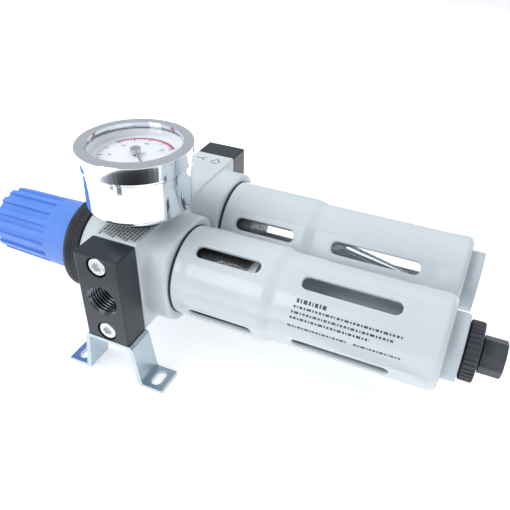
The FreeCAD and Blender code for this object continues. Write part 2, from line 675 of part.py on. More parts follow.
def housing(label, unit, cavities):
    """One die-cast body: a square port block, a rounded-square bowl end and a round collar."""
    along, across, up, turn = AXES[unit]
    block = primitive("Box", label + "_block", {
        "Length": "block_width",
        "Width": "pitch",
        "Height": "pitch",
    }, ("-block_width / 2", across + " - pitch / 2", up + " - pitch / 2"))
    shoulder = doc.addObject("PartDesign::Body", label + "_shoulder")
    pad = shoulder.newObject("PartDesign::Pad", label + "_shoulder_pad")
    pad.Profile = outline(shoulder, label + "_shoulder_outline", "YZ_Plane", (
        ("-shoulder_half", "-shoulder_half"),
        ("shoulder_half", "-shoulder_half"),
        ("shoulder_half", "shoulder_half"),
        ("-shoulder_half", "shoulder_half"),
    ))
    hold(pad, "Length", "shoulder_reach")
    doc.recompute()
    lengthwise = [
        "Edge%d" % (index + 1)
        for index, edge in enumerate(pad.Shape.Edges)
        if abs(edge.Vertexes[0].X - edge.Vertexes[1].X) > 1
    ]
    corners = shoulder.newObject("PartDesign::Fillet", label + "_shoulder_corners")
    corners.Base = (pad, lengthwise)
    hold(corners, "Radius", "shoulder_corner")
    doc.recompute()
    face_edges = [
        "Edge%d" % (index + 1)
        for index, edge in enumerate(corners.Shape.Edges)
        if all(abs(vertex.X - number("shoulder_reach")) < 1e-6 for vertex in edge.Vertexes)
    ]
    rim = shoulder.newObject("PartDesign::Fillet", label + "_shoulder_rim")
    rim.Base = (corners, face_edges)
    hold(rim, "Radius", "shoulder_edge")
    seat(shoulder, unit)
    collar = bar_x(label + "_collar", unit, "-collar_reach", "0", "collar_radius")
    outside = joined(label + "_outside", [block, shoulder, collar])
    hollow = [
        bar_x(label + "_socket", unit, "socket_floor", "shoulder_reach + over", "socket_radius"),
        bar_x(label + "_lug_track", unit, "lug_left - gap", "lug_left + lug_width + gap",
              "lug_track_radius"),
    ]
    for index, angle in enumerate((0, 120, 240)):
        hollow.append(lug_bar("%s_entry_%d" % (label, index), unit, "lug_left", "shoulder_reach + over",
                              "lug_radius + gap", "lug_first - lug_turn + %d" % angle))
    outer_half = ("pitch - screw_length", "pitch")
    if unit == "filter":
        outer_half = ("-pitch", "-pitch + screw_length")
    for index, reach in enumerate(("- screw_spacing / 2", "+ screw_spacing / 2")):
        hollow.append(bar_y("%s_screw_hole_%d" % (label, index), outer_half[0], outer_half[1],
                            "screw_radius", up="axis_height " + reach))
    inside = joined(label + "_inside", hollow + cavities)
    return cut_away(label, outside, inside)


housing("regulator_body", "filter", [
    bar_x("bonnet_bore", "filter", "-collar_reach - over", "-ledge", "chamber_radius"),
    bar_x("under_bore", "filter", "-ledge", "-chamber_floor", "under_radius"),
    bar_x("valve_bore", "filter", "-chamber_floor", "socket_floor", "seat_bore"),
    bar_y("inlet_channel", "-pitch", "-pitch + channel_depth", "channel_radius"),
    bar_x("inlet_drilling", "filter", "0", "socket_floor", "cross_radius", "-cross_offset"),
    bar_y("outlet_channel", "-channel_depth", "0", "channel_radius"),
    bar_x("outlet_drilling", "filter", "-chamber_floor", "0", "cross_radius", "cross_offset - gap"),
    bar_z("gauge_thread", "axis_height + pitch / 2 - gauge_port_depth", "axis_height + pitch / 2",
          "gauge_port", "-gauge_offset", "-pitch / 2"),
    bar_x("gauge_drilling", "filter", "-chamber_floor", "-gauge_offset", "small_cross", "0",
          "pitch / 2 - gauge_port_depth + small_cross"),
])

housing("lubricator_body", "oiler", [
    bar_y("flow_channel", "0", "pitch", "channel_radius"),
    bar_x("dome_bore", "oiler", "-collar_reach - over", "-ledge", "dome_thread"),
    bar_x("drip_drilling", "oiler", "-ledge", "0", "drip_cross"),
    bar_x("oil_drilling", "oiler", "-ledge", "socket_floor", "small_cross",
          "cross_offset - cross_radius - gap"),
    bar_x("bowl_pressure_drilling", "oiler", "0", "socket_floor", "small_cross"),
    flat_seal("module_seal_groove", "0"),
    bar_x("flap_pin_way", "oiler", "-flap_pin_half - axial_play", "flap_pin_half + axial_play",
          "flap_pin + fit", "-pitch / 2 + flap_place + flap_thickness / 2", "flap_pivot"),
])


# ---------------------------------------------------------------- bonnet, collar nut, knob

turned("bonnet", "filter", (
    ("-neck_end", "spindle_radius + spindle_play"),
    ("-neck_end", "neck_radius"),
    ("-nut_left + nut_lip", "neck_radius"),
    ("-nut_left + nut_lip", "nut_bore"),
    ("-collar_reach", "nut_bore"),
    ("-collar_reach", "chamber_radius - fit"),
    ("-ledge - rubber", "chamber_radius - fit"),
    ("-ledge - rubber", "spring_room"),
    ("-nut_left + nut_lip + bonnet_roof", "spring_room"),
    ("-nut_left + nut_lip + bonnet_roof - (spring_room - neck_bore)", "neck_bore"),
    ("-neck_end + neck_floor", "neck_bore"),
    ("-neck_end + neck_floor", "spindle_radius + spindle_play"),
))

collar_nut = turned("collar_nut", "filter", (
    ("-nut_left", "knob_radius + 2 * gap"),
    ("-nut_left", "nut_radius - nut_chamfer"),
    ("-nut_left + nut_chamfer", "nut_radius"),
    ("-collar_reach", "nut_radius"),
    ("-collar_reach", "nut_bore"),
    ("-nut_left + nut_lip", "nut_bore"),
    ("-nut_left + nut_lip", "knob_radius + 2 * gap"),
))
grooved(collar_nut, "knurl", ("nut_radius - knurl_depth", "nut_radius - knurl_depth"), "knurl_half",
        "-nut_left + nut_chamfer", "-collar_reach", "knurl_teeth")

knob = turned("pressure_knob_shell", "filter", (
    ("-knob_end", "0"),
    ("-knob_end", "knob_end_radius - knob_edge"),
    ("-knob_end + knob_edge", "knob_end_radius"),
    ("-knob_start", "knob_radius"),
    ("-knob_start", "knob_bore"),
    ("-knob_end + knob_wall", "knob_bore"),
    ("-knob_end + knob_wall", "hub_radius"),
    ("-hub_start", "hub_radius"),
    ("-hub_start", "0"),
))
knob_taper = "(knob_radius - knob_end_radius) / (knob_end - knob_start)"
grip_floors = (
    "knob_end_radius - groove_depth",
    "knob_end_radius + (knob_end - groove_end) * %s - groove_depth" % knob_taper,
)
grooved(knob, "grip", grip_floors, "groove_half", "-knob_end", "-groove_end", "groove_count")
drive_hole = primitive("Prism", "drive_hole", {
    "Circumradius": "hex_radius + fit",
    "Height": "spindle_end - hub_start + 2 * drive_play",
}, ("-spindle_end - drive_play", "-pitch / 2", "axis_height"), Rotation(Vector(0, 1, 0), 90))
cut_away("pressure_knob", knob, drive_hole)

spindle_hexagon = primitive("Prism", "spindle_hexagon", {
    "Circumradius": "hex_radius",
    "Height": "spindle_end - neck_end",
}, ("-spindle_end", "-pitch / 2", "axis_height"), Rotation(Vector(0, 1, 0), 90))
joined("adjusting_spindle", [
    spindle_hexagon,
    bar_x("spindle_thread", "filter", "-neck_end", "-spindle_tip", "spindle_radius"),
    bar_x("spindle_collar", "filter", "-neck_end + neck_floor + axial_play",
          "-neck_end + neck_floor + axial_play + stop_width", "spindle_radius + stop_rim"),
])


# ---------------------------------------------------------------- spring side of the regulator

washer("spring_nut", "filter", "-disc_left", "-disc_left + disc_thickness", "disc_radius",
       "spindle_radius + fit")

coil_spring("main_spring", "filter", "-disc_left + disc_thickness", "-cup_left", "spring_mean",
            "spring_wire", number("spring_turns"))

turned("diaphragm_plate", "filter", (
    ("-cup_left", "0"),
    ("-cup_left", "cup_radius"),
    ("-ledge - rubber", "cup_radius"),
    ("-ledge - rubber", "boss_radius"),
    ("-boss_tip", "boss_radius"),
    ("-boss_tip", "0"),
))

washer("diaphragm", "filter", "-ledge - rubber", "-ledge", "chamber_radius - fit", "boss_radius + fit")


# ---------------------------------------------------------------- valve

turned("valve_seat", "filter", (
    ("-chamber_floor", "seat_hole"),
    ("-chamber_floor", "seat_bore"),
    ("-seat_face - seat_lip", "seat_bore"),
    ("-seat_face - seat_lip", "seat_hole + seat_lip"),
    ("-seat_face", "seat_hole + seat_lip_top"),
    ("-seat_face", "seat_hole"),
))

turned("valve_poppet", "filter", (
    ("-boss_tip + axial_play", "0"),
    ("-boss_tip + axial_play", "poppet_pin"),
    ("-seat_face + axial_play", "poppet_pin"),
    ("-seat_face + axial_play", "poppet_radius"),
    ("-seat_face + axial_play + poppet_thickness", "poppet_radius"),
    ("-seat_face + axial_play + poppet_thickness", "tail_radius"),
    ("tail_end", "tail_radius"),
    ("tail_end", "0"),
))

turned("valve_cap", "filter", (
    ("cap_left + valve_travel", "tail_radius + fit"),
    ("tail_end + valve_travel + cap_floor", "tail_radius + fit"),
    ("tail_end + valve_travel + cap_floor", "0"),
    ("cap_right", "0"),
    ("cap_right", "cap_flange"),
    ("socket_floor", "cap_flange"),
    ("socket_floor", "seat_bore"),
    ("cap_left + valve_travel", "seat_bore"),
))

coil_spring("valve_spring", "filter", "-seat_face + axial_play + poppet_thickness",
            "cap_left + valve_travel",
            "valve_spring_mean", "valve_spring_wire", number("valve_spring_turns"))


# ---------------------------------------------------------------- filter stack

swirl = washer("swirl_disc", "filter", "cap_right", "vane_right", "vane_radius", "rod_radius + fit")
grooved(swirl, "vane", ("vane_radius - vane_depth", "vane_radius - vane_depth"), "vane_half",
        "cap_right", "vane_right", "vane_count")

washer("filter_element", "filter", "vane_right", "element_right", "element_radius", "element_bore")

turned("baffle", "filter", (
    ("element_right", "rod_radius + fit"),
    ("element_right", "element_radius"),
    ("baffle_right - baffle_rim", "baffle_radius"),
    ("baffle_right", "baffle_radius"),
    ("baffle_right", "rod_radius + fit"),
))

turned("filter_rod", "filter", (
    ("cap_right", "0"),
    ("cap_right", "rod_radius"),
    ("baffle_right", "rod_radius"),
    ("baffle_right", "rod_radius + rod_head_rim"),
    ("baffle_right + rod_head", "rod_radius + rod_head_rim"),
    ("baffle_right + rod_head", "0"),
))


# ---------------------------------------------------------------- bowls and guards

def bowl(label, unit, bore):
    """A clear bowl: a grooved neck, a long wall that narrows once, and a spigot at its foot."""
    return turned(label, unit, (
        ("bowl_left", "bowl_radius - bowl_wall"),
        ("bowl_left", "bowl_neck"),
        ("oring_left", "bowl_neck"),
        ("oring_left", "oring_groove"),
        ("oring_left + 2 * oring_wire + oring_room", "oring_groove"),
        ("oring_left + 2 * oring_wire + oring_room", "bowl_neck"),
        ("bowl_flange_right", "bowl_neck"),
        ("bowl_flange_right", "bowl_radius"),
        ("bowl_waist - waist_half", "bowl_radius"),
        ("bowl_waist + waist_half", "bowl_radius - waist_drop"),
        ("bowl_foot", "bowl_foot_radius"),
        ("bowl_floor", "spigot_radius"),
        ("spigot_end", "spigot_radius"),
        ("spigot_end", bore),
        ("bowl_foot", bore),
        ("bowl_foot - bowl_inner_lip", "spigot_radius - bowl_inner_lip"),
        ("bowl_foot - bowl_inner_foot", "bowl_foot_radius - bowl_wall"),
        ("bowl_waist + waist_half", "bowl_radius - waist_drop - bowl_wall"),
        ("bowl_waist - waist_half", "bowl_radius - bowl_wall"),
    ))


def guard(label, unit, roll):
    """A metal bowl guard: bayonet neck, wide part, narrow part, four windows in each of two rows."""
    body = turned(label, unit, (
        ("bowl_flange_right", "guard_neck_bore"),
        ("bowl_flange_right", "guard_neck"),
        ("lug_left", "guard_neck"),
        ("guard_left", "guard_neck"),
        ("guard_left", "guard_rim"),
        ("window_one_left - guard_flare", "guard_radius"),
        ("guard_step_start", "guard_radius"),
        ("guard_step_end", "guard_narrow"),
        ("guard_end - guard_corner", "guard_narrow"),
        ("guard_end - guard_corner * corner_share", "guard_narrow - guard_corner * corner_share"),
        ("guard_end", "guard_narrow - guard_corner"),
        ("guard_end", "spigot_radius + gap"),
        ("guard_end - guard_end_wall", "spigot_radius + gap"),
        ("guard_end - guard_end_wall", "guard_narrow_bore"),
        ("guard_step_end", "guard_narrow_bore"),
        ("guard_step_start", "guard_bore"),
        ("guard_left + guard_shoulder", "guard_bore"),
        ("guard_left + guard_shoulder", "guard_neck_bore"),
    ), roll)
    cuts = []
    for row, left, right in (
        ("one", "window_one_left", "window_one_right"),
        ("two", "window_two_left", "window_two_right"),
    ):
        sketch = rounded_box(body, "%s_window_%s" % (label, row), "XY_Plane", (left, right),
                             ("-window_half", "window_half"), "window_corner")
        cuts.append(pocket(body, sketch, "guard_radius + over", backwards=True))
    repeat_round(body, cuts, "4")
    return body


for unit, side, bore, roll in (
    ("filter", "filter", "drain_bore", number("filter_guard_turn")),
    ("oiler", "lubricator", "0", number("oiler_guard_turn")),
):
    bowl(side + "_bowl", unit, bore)
    o_ring(side + "_bowl_seal", unit, "oring_left + oring_wire + fit", "oring_groove + oring_wire",
           "oring_wire")
    washer(side + "_cushion_ring", unit, "shoulder_reach", "shoulder_reach + ring_width",
           "guard_rim + ring_over", "socket_radius")
    shell = guard(side + "_guard_shell", unit, roll)
    lugs = [
        lug_bar("%s_lug_%d" % (side, index), unit, "lug_left", "lug_left + lug_width", "lug_radius",
                "lug_first + %d" % angle)
        for index, angle in enumerate((0, 120, 240))
    ]
    bore_tool = bar_x(side + "_neck_bore", unit, "bowl_flange_right", "guard_left", "guard_neck_bore")
    cut_away(side + "_guard", joined(side + "_guard_lugged", [shell] + lugs), bore_tool)


# ---------------------------------------------------------------- drain

wheel = turned("drain_wheel", "filter", (
    ("drain_shank_left", "drain_hole"),
    ("drain_shank_left", "drain_shank"),
    ("drain_left", "drain_shank"),
    ("drain_left", "drain_radius - drain_edge"),
    ("drain_left + drain_edge", "drain_radius"),
    ("drain_right - drain_edge", "drain_radius"),
    ("drain_right", "drain_radius - drain_edge"),
    ("drain_right", "drain_hole"),
))
grooved(wheel, "drain_knurl", ("drain_radius - drain_depth", "drain_radius - drain_depth"),
        "drain_half", "drain_left", "drain_right", "drain_teeth")

outlet_corners = tuple(
    ("outlet_radius * cos(%d)" % angle, "outlet_radius * sin(%d)" % angle)
    for angle in range(0, 360, 45)
)
outlet_body = padded("drain_nozzle", "YZ_Plane", outlet_corners, "outlet_right - outlet_left")
place(outlet_body, ("outlet_left", "-pitch / 2", "axis_height"))
outlet_solid = joined("drain_outlet_solid", [
    outlet_body,
    bar_x("drain_nozzle_neck", "filter", "drain_right", "outlet_left", "outlet_radius - outlet_waist"),
])
cut_away("drain_outlet", outlet_solid,
         bar_x("drain_nozzle_hole", "filter", "drain_right", "outlet_right + over", "drain_hole"))

turned("drain_plunger", "filter", (
    ("plunger_left", "0"),
    ("plunger_left", "plunger_radius + plunger_rim"),
    ("plunger_left + plunger_head", "plunger_radius + plunger_rim"),
    ("plunger_left + plunger_head", "plunger_radius"),
    ("drain_shank_left - gap", "plunger_radius"),
    ("drain_shank_left - gap", "0"),
))


# ---------------------------------------------------------------- port plates, seals and screws

def port_plate(label, near):
    """A port plate that stands on its outer face's plane; near is that plate's near face."""
    body = padded(label + "_blank", "XZ_Plane", (
        ("-block_width / 2", "-plate_height / 2"),
        ("block_width / 2", "-plate_height / 2"),
        ("block_width / 2", "plate_height / 2"),
        ("-block_width / 2", "plate_height / 2"),
    ), "plate_thickness")
    doc.recompute()
    slab = body.Tip
    rounding = body.newObject("PartDesign::Fillet", label + "_rounding")
    rounding.Base = (slab, ["Edge%d" % (index + 1) for index in range(len(slab.Shape.Edges))])
    hold(rounding, "Radius", "plate_edge")
    place(body, ("0", near + " + plate_thickness", "axis_height"))
    return body


def plate_screw(label, outer, direction, up):
    """A six-lobe pan screw along Y, its head in the plate's counterbore."""
    way = "+" if direction > 0 else "-"
    body = turned(label, "filter", (
        ("0", "0"),
        ("0", "head_radius - head_edge"),
        ("head_edge", "head_radius"),
        ("head_height", "head_radius"),
        ("head_height", "screw_radius"),
        ("head_height + screw_length", "screw_radius"),
        ("head_height + screw_length", "0"),
    ))
    lobes = [
        ("socket_drive * cos(%d)" % angle, "socket_drive * sin(%d)" % angle, "socket_lobe")
        for angle in range(0, 360, 60)
    ]
    middle = circles(body, label + "_middle", "YZ_Plane", [("0", "0", "socket_drive")])
    pocket(body, middle, "socket_depth", backwards=True)
    for index, lobe in enumerate(lobes):
        notch = circles(body, "%s_lobe_%d" % (label, index), "YZ_Plane", [lobe])
        pocket(body, notch, "socket_depth", backwards=True)
    spot = ("0", "%s %s head_recess" % (outer, way), up)
    place(body, spot, Rotation(Vector(0, 0, 1), 90 * direction))
    return body


for side, near, outer, direction in (
    ("inlet", "-pitch - plate_thickness", "-pitch - plate_thickness", 1),
    ("outlet", "pitch", "pitch + plate_thickness", -1),
):
    blank = port_plate(side + "_plate", near)
    inner_face = "-pitch" if direction > 0 else "pitch"
    tools = []
    outside = (outer, inner_face) if direction > 0 else (inner_face, outer)
    tools.append(bar_y(side + "_through", outside[0], outside[1], "channel_radius"))
    thread = (outer, outer + " + port_depth") if direction > 0 else (outer + " - port_depth", outer)
    tools.append(bar_y(side + "_thread", thread[0], thread[1], "port_radius"))
    screws = []
    for index, reach in enumerate(("- screw_spacing / 2", "+ screw_spacing / 2")):
        height = "axis_height " + reach
        tools.append(bar_y("%s_way_%d" % (side, index), outside[0], outside[1], "screw_radius + screw_way",
                           up=height))
        sink = "head_recess + head_height"
        deep = (outer, outer + " + " + sink) if direction > 0 else (outer + " - (" + sink + ")", outer)
        tools.append(bar_y("%s_sink_%d" % (side, index), deep[0], deep[1], "counterbore_radius",
                           up=height))
        screws.append(plate_screw("%s_screw_%d" % (side, index), outer, direction, height))
    for index, reach in enumerate(("-foot_screw_place", "foot_screw_place")):
        tools.append(bar_z("%s_foot_hole_%d" % (side, index), "axis_height - plate_height / 2",
                           "axis_height - plate_height / 2 + foot_screw_length - sheet_thickness",
                           "foot_screw_radius", reach, near + " + plate_thickness / 2"))
    seal_start = inner_face + " - seal_thickness" if direction > 0 else inner_face
    tools.append(flat_seal(side + "_seal_groove", seal_start))
    cut_away(side + "_plate", blank, joined(side + "_plate_cuts", tools))
    group_of(side + "_plate_screws", screws)
    flat_seal(side + "_seal", seal_start)


# ---------------------------------------------------------------- feet

def foot_outline():
    """The bent strip's section on the XZ plane: top under the plate, two splayed legs, two feet."""
    top = "axis_height - plate_height / 2"
    under = top + " - sheet_thickness"
    right = (
        ("foot_half", "0"),
        ("foot_half", "sheet_thickness"),
        ("foot_start + foot_blend", "sheet_thickness"),
        ("hip", top + " - hip_corner"),
        ("hip - hip_corner", top),
    )
    under_right = (
        ("hip - hip_corner - hip_inner", under),
        ("hip - sheet_thickness", under + " - hip_inner"),
        ("foot_start - sheet_thickness + heel_back", "heel_edge"),
        ("foot_start - sheet_thickness + heel_back + heel_edge", "0"),
    )
    mirror = [("-(" + across + ")", up) for across, up in reversed(right)]
    under_left = [("-(" + across + ")", up) for across, up in reversed(under_right)]
    return right + tuple(mirror) + tuple(under_left) + under_right


for side, near in (("inlet", "-pitch - plate_thickness"), ("outlet", "pitch")):
    strip = padded(side + "_strip", "XZ_Plane", foot_outline(), "plate_thickness")
    place(strip, ("0", near + " + plate_thickness", "0"))
    middle = near + " + plate_thickness / 2"
    tools = []
    for index, way in enumerate(("-", "")):
        slot_middle = primitive("Box", "%s_slot_%d" % (side, index), {
            "Length": "2 * slot_half",
            "Width": "slot_length - 2 * slot_half",
            "Height": "sheet_thickness + 2 * over",
        }, (way + "slot_place - slot_half", middle + " - slot_length / 2 + slot_half", "-over"))
        tools.append(slot_middle)
        for end, reach in enumerate(("- slot_length / 2 + slot_half", "+ slot_length / 2 - slot_half")):
            tools.append(bar_z("%s_slot_%d_end_%d" % (side, index, end), "-over", "sheet_thickness + over",
                               "slot_half", way + "slot_place", middle + " " + reach))
        tools.append(bar_z("%s_strip_hole_%d" % (side, index),
                           "axis_height - plate_height / 2 - sheet_thickness - over",
                           "axis_height - plate_height / 2 + over",
                           "foot_screw_radius + foot_screw_play",
                           way + "foot_screw_place", middle))
    cut_away(side + "_foot", strip, joined(side + "_foot_cuts", tools))
    screws = []
    for index, way in enumerate(("-", "")):
        body = turned("%s_foot_screw_%d" % (side, index), "gauge", (
            ("0", "0"),
            ("0", "foot_screw_head"),
            ("foot_screw_head_height", "foot_screw_head"),
            ("foot_screw_head_height", "foot_screw_radius"),
            ("foot_screw_head_height + foot_screw_length", "foot_screw_radius"),
            ("foot_screw_head_height + foot_screw_length", "0"),
        ))
        base = "axis_height - plate_height / 2 - sheet_thickness - foot_screw_head_height"
        place(body, (way + "foot_screw_place", middle, base), ALONG_Z)
        screws.append(body)
    group_of(side + "_foot_screws", screws)


# ---------------------------------------------------------------- pressure gauge

block_top = "axis_height + pitch / 2"
stem_bottom = block_top + " - gauge_port_depth + stem_short"
turned("gauge_stem", "gauge", (
    (stem_bottom, "stem_hole"),
    (stem_bottom, "gauge_port"),
    (block_top + " + washer_height", "gauge_port"),
    (block_top + " + washer_height", "stem_square"),
    ("case_bottom", "stem_square"),
    ("case_bottom", "stem_square - stem_inside"),
    ("case_bottom + case_wall + stem_reach", "stem_square - stem_inside"),
    ("case_bottom + case_wall + stem_reach", "stem_hole"),
))

washer("gauge_seal", "gauge", block_top, block_top + " + washer_height", "stem_square + washer_rim",
       "gauge_port")

turned("gauge_case", "gauge", (
    ("case_bottom", "stem_square - stem_inside"),
    ("case_bottom", "case_radius - case_corner"),
    ("case_bottom + case_corner * corner_share", "case_radius - case_corner * corner_share"),
    ("case_bottom + case_corner", "case_radius"),
    ("bezel_bottom - bezel_gap", "case_radius"),
    ("bezel_bottom - bezel_gap", "dial_radius + seat_rim"),
    ("glass_bottom - glass_seat", "dial_radius + seat_rim"),
    ("glass_bottom - glass_seat", "dial_radius + fit"),
    ("case_bottom + case_wall", "dial_radius + fit"),
    ("case_bottom + case_wall", "stem_square - stem_inside"),
))

turned("gauge_bezel", "gauge", (
    ("bezel_bottom", "dial_radius + seat_rim"),
    ("bezel_bottom", "bezel_radius"),
    ("bezel_top - bezel_round", "bezel_radius"),
    ("bezel_top - bezel_round_middle", "bezel_radius - bezel_round_middle"),
    ("bezel_top", "bezel_radius - bezel_round"),
    ("bezel_top", "bezel_opening + bezel_inner_round"),
    ("bezel_top - bezel_inner_round", "bezel_opening"),
    ("bezel_top - bezel_wall - bezel_ledge", "bezel_opening"),
    ("bezel_top - bezel_wall - bezel_ledge", "glass_radius + glass_play"),
    ("glass_bottom - glass_seat", "glass_radius + glass_play"),
    ("glass_bottom - glass_seat", "dial_radius + seat_rim"),
))

washer("gauge_glass", "gauge", "glass_bottom", "glass_bottom + glass_thickness", "glass_radius")

washer("gauge_dial", "gauge", "dial_height - dial_thickness", "dial_height", "dial_radius",
       "arbor_radius + gap")

arbor_spot = ("-gauge_offset", "-pitch / 2")
quadrant_spot = ("-gauge_offset", "-pitch / 2 - quadrant_place")

needle = padded("gauge_needle", "XY_Plane", (
    ("-pointer_tail", "-tail_half"),
    ("-pointer_tail", "tail_half"),
    ("0", "waist_width"),
    ("pointer_length", "tip_half"),
    ("pointer_length", "-tip_half"),
    ("0", "-waist_width"),
), "needle_sheet")
pointer_way = Rotation(Vector(0, 0, 1), 180 + number("pointer_rest"))
place(needle, arbor_spot + ("pointer_height",), pointer_way)
joined("gauge_pointer", [
    needle,
    bar_z("pointer_cap", "pointer_height - axial_play", "pointer_height + hub_cap_height", "hub_cap",
          *arbor_spot),
    bar_z("pointer_arbor", "dial_height - arbor_low", "pointer_height", "arbor_radius", *arbor_spot),
    bar_z("pointer_pinion", "dial_height - pinion_low", "dial_height - pinion_high", "pinion_radius",
          *arbor_spot),
])

# Quadrant outline: shares of its reach to the pinion, and of its half width.
quadrant_reach = "(quadrant_place - pinion_radius - gap)"
quadrant_corners = tuple(
    (along + " * " + quadrant_reach, across + " * quadrant_half")
    for along, across in (
        ("-0.14", "-0.29"),
        ("0", "-0.38"),
        ("0.86", "-0.86"),
        ("1", "0"),
        ("0.86", "0.86"),
        ("0", "0.38"),
        ("-0.14", "0.29"),
    )
)
quadrant = padded("gauge_quadrant_plate", "XY_Plane", quadrant_corners, "quadrant_sheet")
place(quadrant, quadrant_spot + ("dial_height - quadrant_drop",),
      Rotation(Vector(0, 0, 1), 90 - number("quadrant_rest")))
joined("gauge_quadrant", [
    quadrant,
    bar_z("quadrant_arbor", "dial_height - arbor_low", "dial_height - pinion_high + gap",
          "quadrant_arbor", *quadrant_spot),
])

bridge = primitive("Box", "movement_bridge", {
    "Length": "2 * bridge_half",
    "Width": "bridge_past + quadrant_place + bridge_near",
    "Height": "bridge_sheet",
}, ("-gauge_offset - bridge_half", "-pitch / 2 - quadrant_place - bridge_past",
    "dial_height - bridge_low"))
bridge_holes = joined("movement_holes", [
    bar_z("arbor_hole", "dial_height - bridge_low - over", "dial_height", "arbor_radius + fit",
          *arbor_spot),
    bar_z("quadrant_hole", "dial_height - bridge_low - over", "dial_height", "quadrant_arbor + fit",
          *quadrant_spot),
])
post = bar_z("movement_post", "case_bottom + case_wall + stem_reach", "dial_height - bridge_low",
             "post_radius", "-gauge_offset + post_offset", "-pitch / 2")
arm = primitive("Cylinder", "movement_arm", {
    "Radius": "arm_radius",
    "Height": "dial_radius - bourdon_inset - bourdon_radius - post_offset",
}, ("-gauge_offset + post_offset", "-pitch / 2", "case_bottom + bourdon_height"),
    Rotation(Vector(0, 1, 0), 90))
cut_away("gauge_movement", joined("movement_solid", [bridge, post, arm]), bridge_holes)

primitive("Torus", "bourdon_tube", {
    "Radius1": "dial_radius - bourdon_inset",
    "Radius2": "bourdon_radius",
    "Angle3": "bourdon_sweep",
}, arbor_spot + ("case_bottom + bourdon_height",))


# ---------------------------------------------------------------- lubricator

turned("sight_dome", "oiler", (
    ("-dome_end", "needle_shank + needle_fit"),
    ("-dome_end", "dome_radius - dome_corner"),
    ("-dome_end + dome_corner", "dome_radius"),
    ("-collar_reach - dome_flange_width", "dome_radius"),
    ("-collar_reach - dome_flange_width", "dome_flange"),
    ("-collar_reach", "dome_flange"),
    ("-collar_reach", "dome_thread"),
    ("-ledge - dome_seal_width", "dome_thread"),
    ("-ledge - dome_seal_width", "dome_thread - dome_wall"),
    ("-dome_end + dome_inner + dome_corner", "dome_radius - dome_wall"),
    ("-dome_end + dome_inner + dome_wall", "dome_radius - dome_wall - dome_corner"),
    ("-dome_end + dome_inner + dome_wall", "needle_shank + needle_fit"),
))

oil_screw = turned("oil_screw", "oiler", (
    ("-needle_end", "0"),
    ("-needle_end", "needle_radius"),
    ("-dome_end - gap", "needle_radius"),
    ("-dome_end - gap", "needle_shank"),
    ("-dome_end + needle_reach - needle_taper", "needle_shank"),
    ("-dome_end + needle_reach", "needle_tip"),
    ("-dome_end + needle_reach", "0"),
))
slot = outline(oil_screw, "oil_screw_slot", "XY_Plane", (
    ("-needle_end - over", "-slot_wide"),
    ("-needle_end + slot_deep", "-slot_wide"),
    ("-needle_end + slot_deep", "slot_wide"),
    ("-needle_end - over", "slot_wide"),
))
pocket(oil_screw, slot, "2 * needle_radius + 2 * over", both_ways=True)

washer("drip_nozzle", "oiler", "-dome_end + nozzle_start", "-ledge", "nozzle_radius", "nozzle_bore")

washer("dome_seal", "oiler", "-ledge - dome_seal_width", "-ledge", "dome_thread",
       "dome_thread - dome_wall")

washer("pickup_core", "oiler", "socket_floor", "core_right", "core_radius", "core_bore")

oiler_spot = Vector(0, number("pitch / 2"), number("axis_height"))
lean = math.radians(number("siphon_lean"))
off_axis = Vector(0, math.cos(lean), math.sin(lean))


def on_route(along, offset):
    """A point of the siphon tube's route, from its distance along the bowl and off the axis."""
    return oiler_spot + Vector(number(along), 0, 0) + off_axis * number(offset)


route = [
    on_route("core_right", "siphon_start"),
    on_route("bowl_waist - siphon_knee", "siphon_start"),
    on_route("bowl_foot - siphon_short", "-siphon_drop"),
]
bent_tube("siphon_tube", route, number("siphon_bend"), number("siphon_radius"), number("siphon_bore"))

strainer = doc.addObject("Part::Feature", "siphon_strainer")
strainer.Shape = Part.makeCylinder(number("strainer_radius"), number("strainer_length"))
strainer.Placement = Placement(route[2], Rotation(Vector(0, 0, 1), route[2] - route[1]))

flap_disc = bar_y("flap_disc", "flap_place", "flap_place + flap_thickness", "flap_radius")
flap_pin = bar_x("flap_pin_bar", "oiler", "-flap_pin_half", "flap_pin_half", "flap_pin",
                 "-pitch / 2 + flap_place + flap_thickness / 2", "flap_pivot")
joined("flow_flap", [flap_disc, flap_pin])

flat_seal("module_seal", "0")


# ---------------------------------------------------------------- check and write

PIECES = (
    "regulator_body", "bonnet", "collar_nut", "pressure_knob", "adjusting_spindle", "spring_nut",
    "main_spring", "diaphragm_plate", "diaphragm", "valve_seat", "valve_poppet", "valve_cap",
    "valve_spring", "swirl_disc", "filter_element", "baffle", "filter_rod", "filter_bowl",
    "filter_bowl_seal", "filter_cushion_ring", "filter_guard", "drain_wheel", "drain_outlet",
    "drain_plunger", "gauge_stem", "gauge_seal", "gauge_case", "gauge_bezel", "gauge_glass",
    "gauge_dial", "gauge_pointer", "gauge_quadrant", "gauge_movement", "bourdon_tube",
    "lubricator_body", "sight_dome", "oil_screw", "drip_nozzle", "dome_seal", "pickup_core",
    "siphon_tube", "siphon_strainer", "flow_flap", "lubricator_bowl", "lubricator_bowl_seal",
    "lubricator_cushion_ring", "lubricator_guard", "inlet_plate", "outlet_plate",
    "inlet_plate_screws", "outlet_plate_screws", "inlet_seal", "outlet_seal", "inlet_foot",
    "outlet_foot", "inlet_foot_screws", "outlet_foot_screws", "module_seal",
)

doc.recompute()
for item in doc.Objects:
    if "Invalid" in item.State or "Error" in item.State:
        raise RuntimeError("%s is in error: %s" % (item.Label, item.State))

os.makedirs("parts", exist_ok=True)
for label in PIECES:
    piece = doc.getObjectsByLabel(label)[0]
    if piece.Shape.isNull() or not piece.Shape.isValid():
        raise RuntimeError(label + " has no valid shape")
    piece.Shape.exportStep("parts/%s.step" % label)
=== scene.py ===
import math

import bmesh
import bpy
import numpy as np
from mathutils import Matrix, Vector


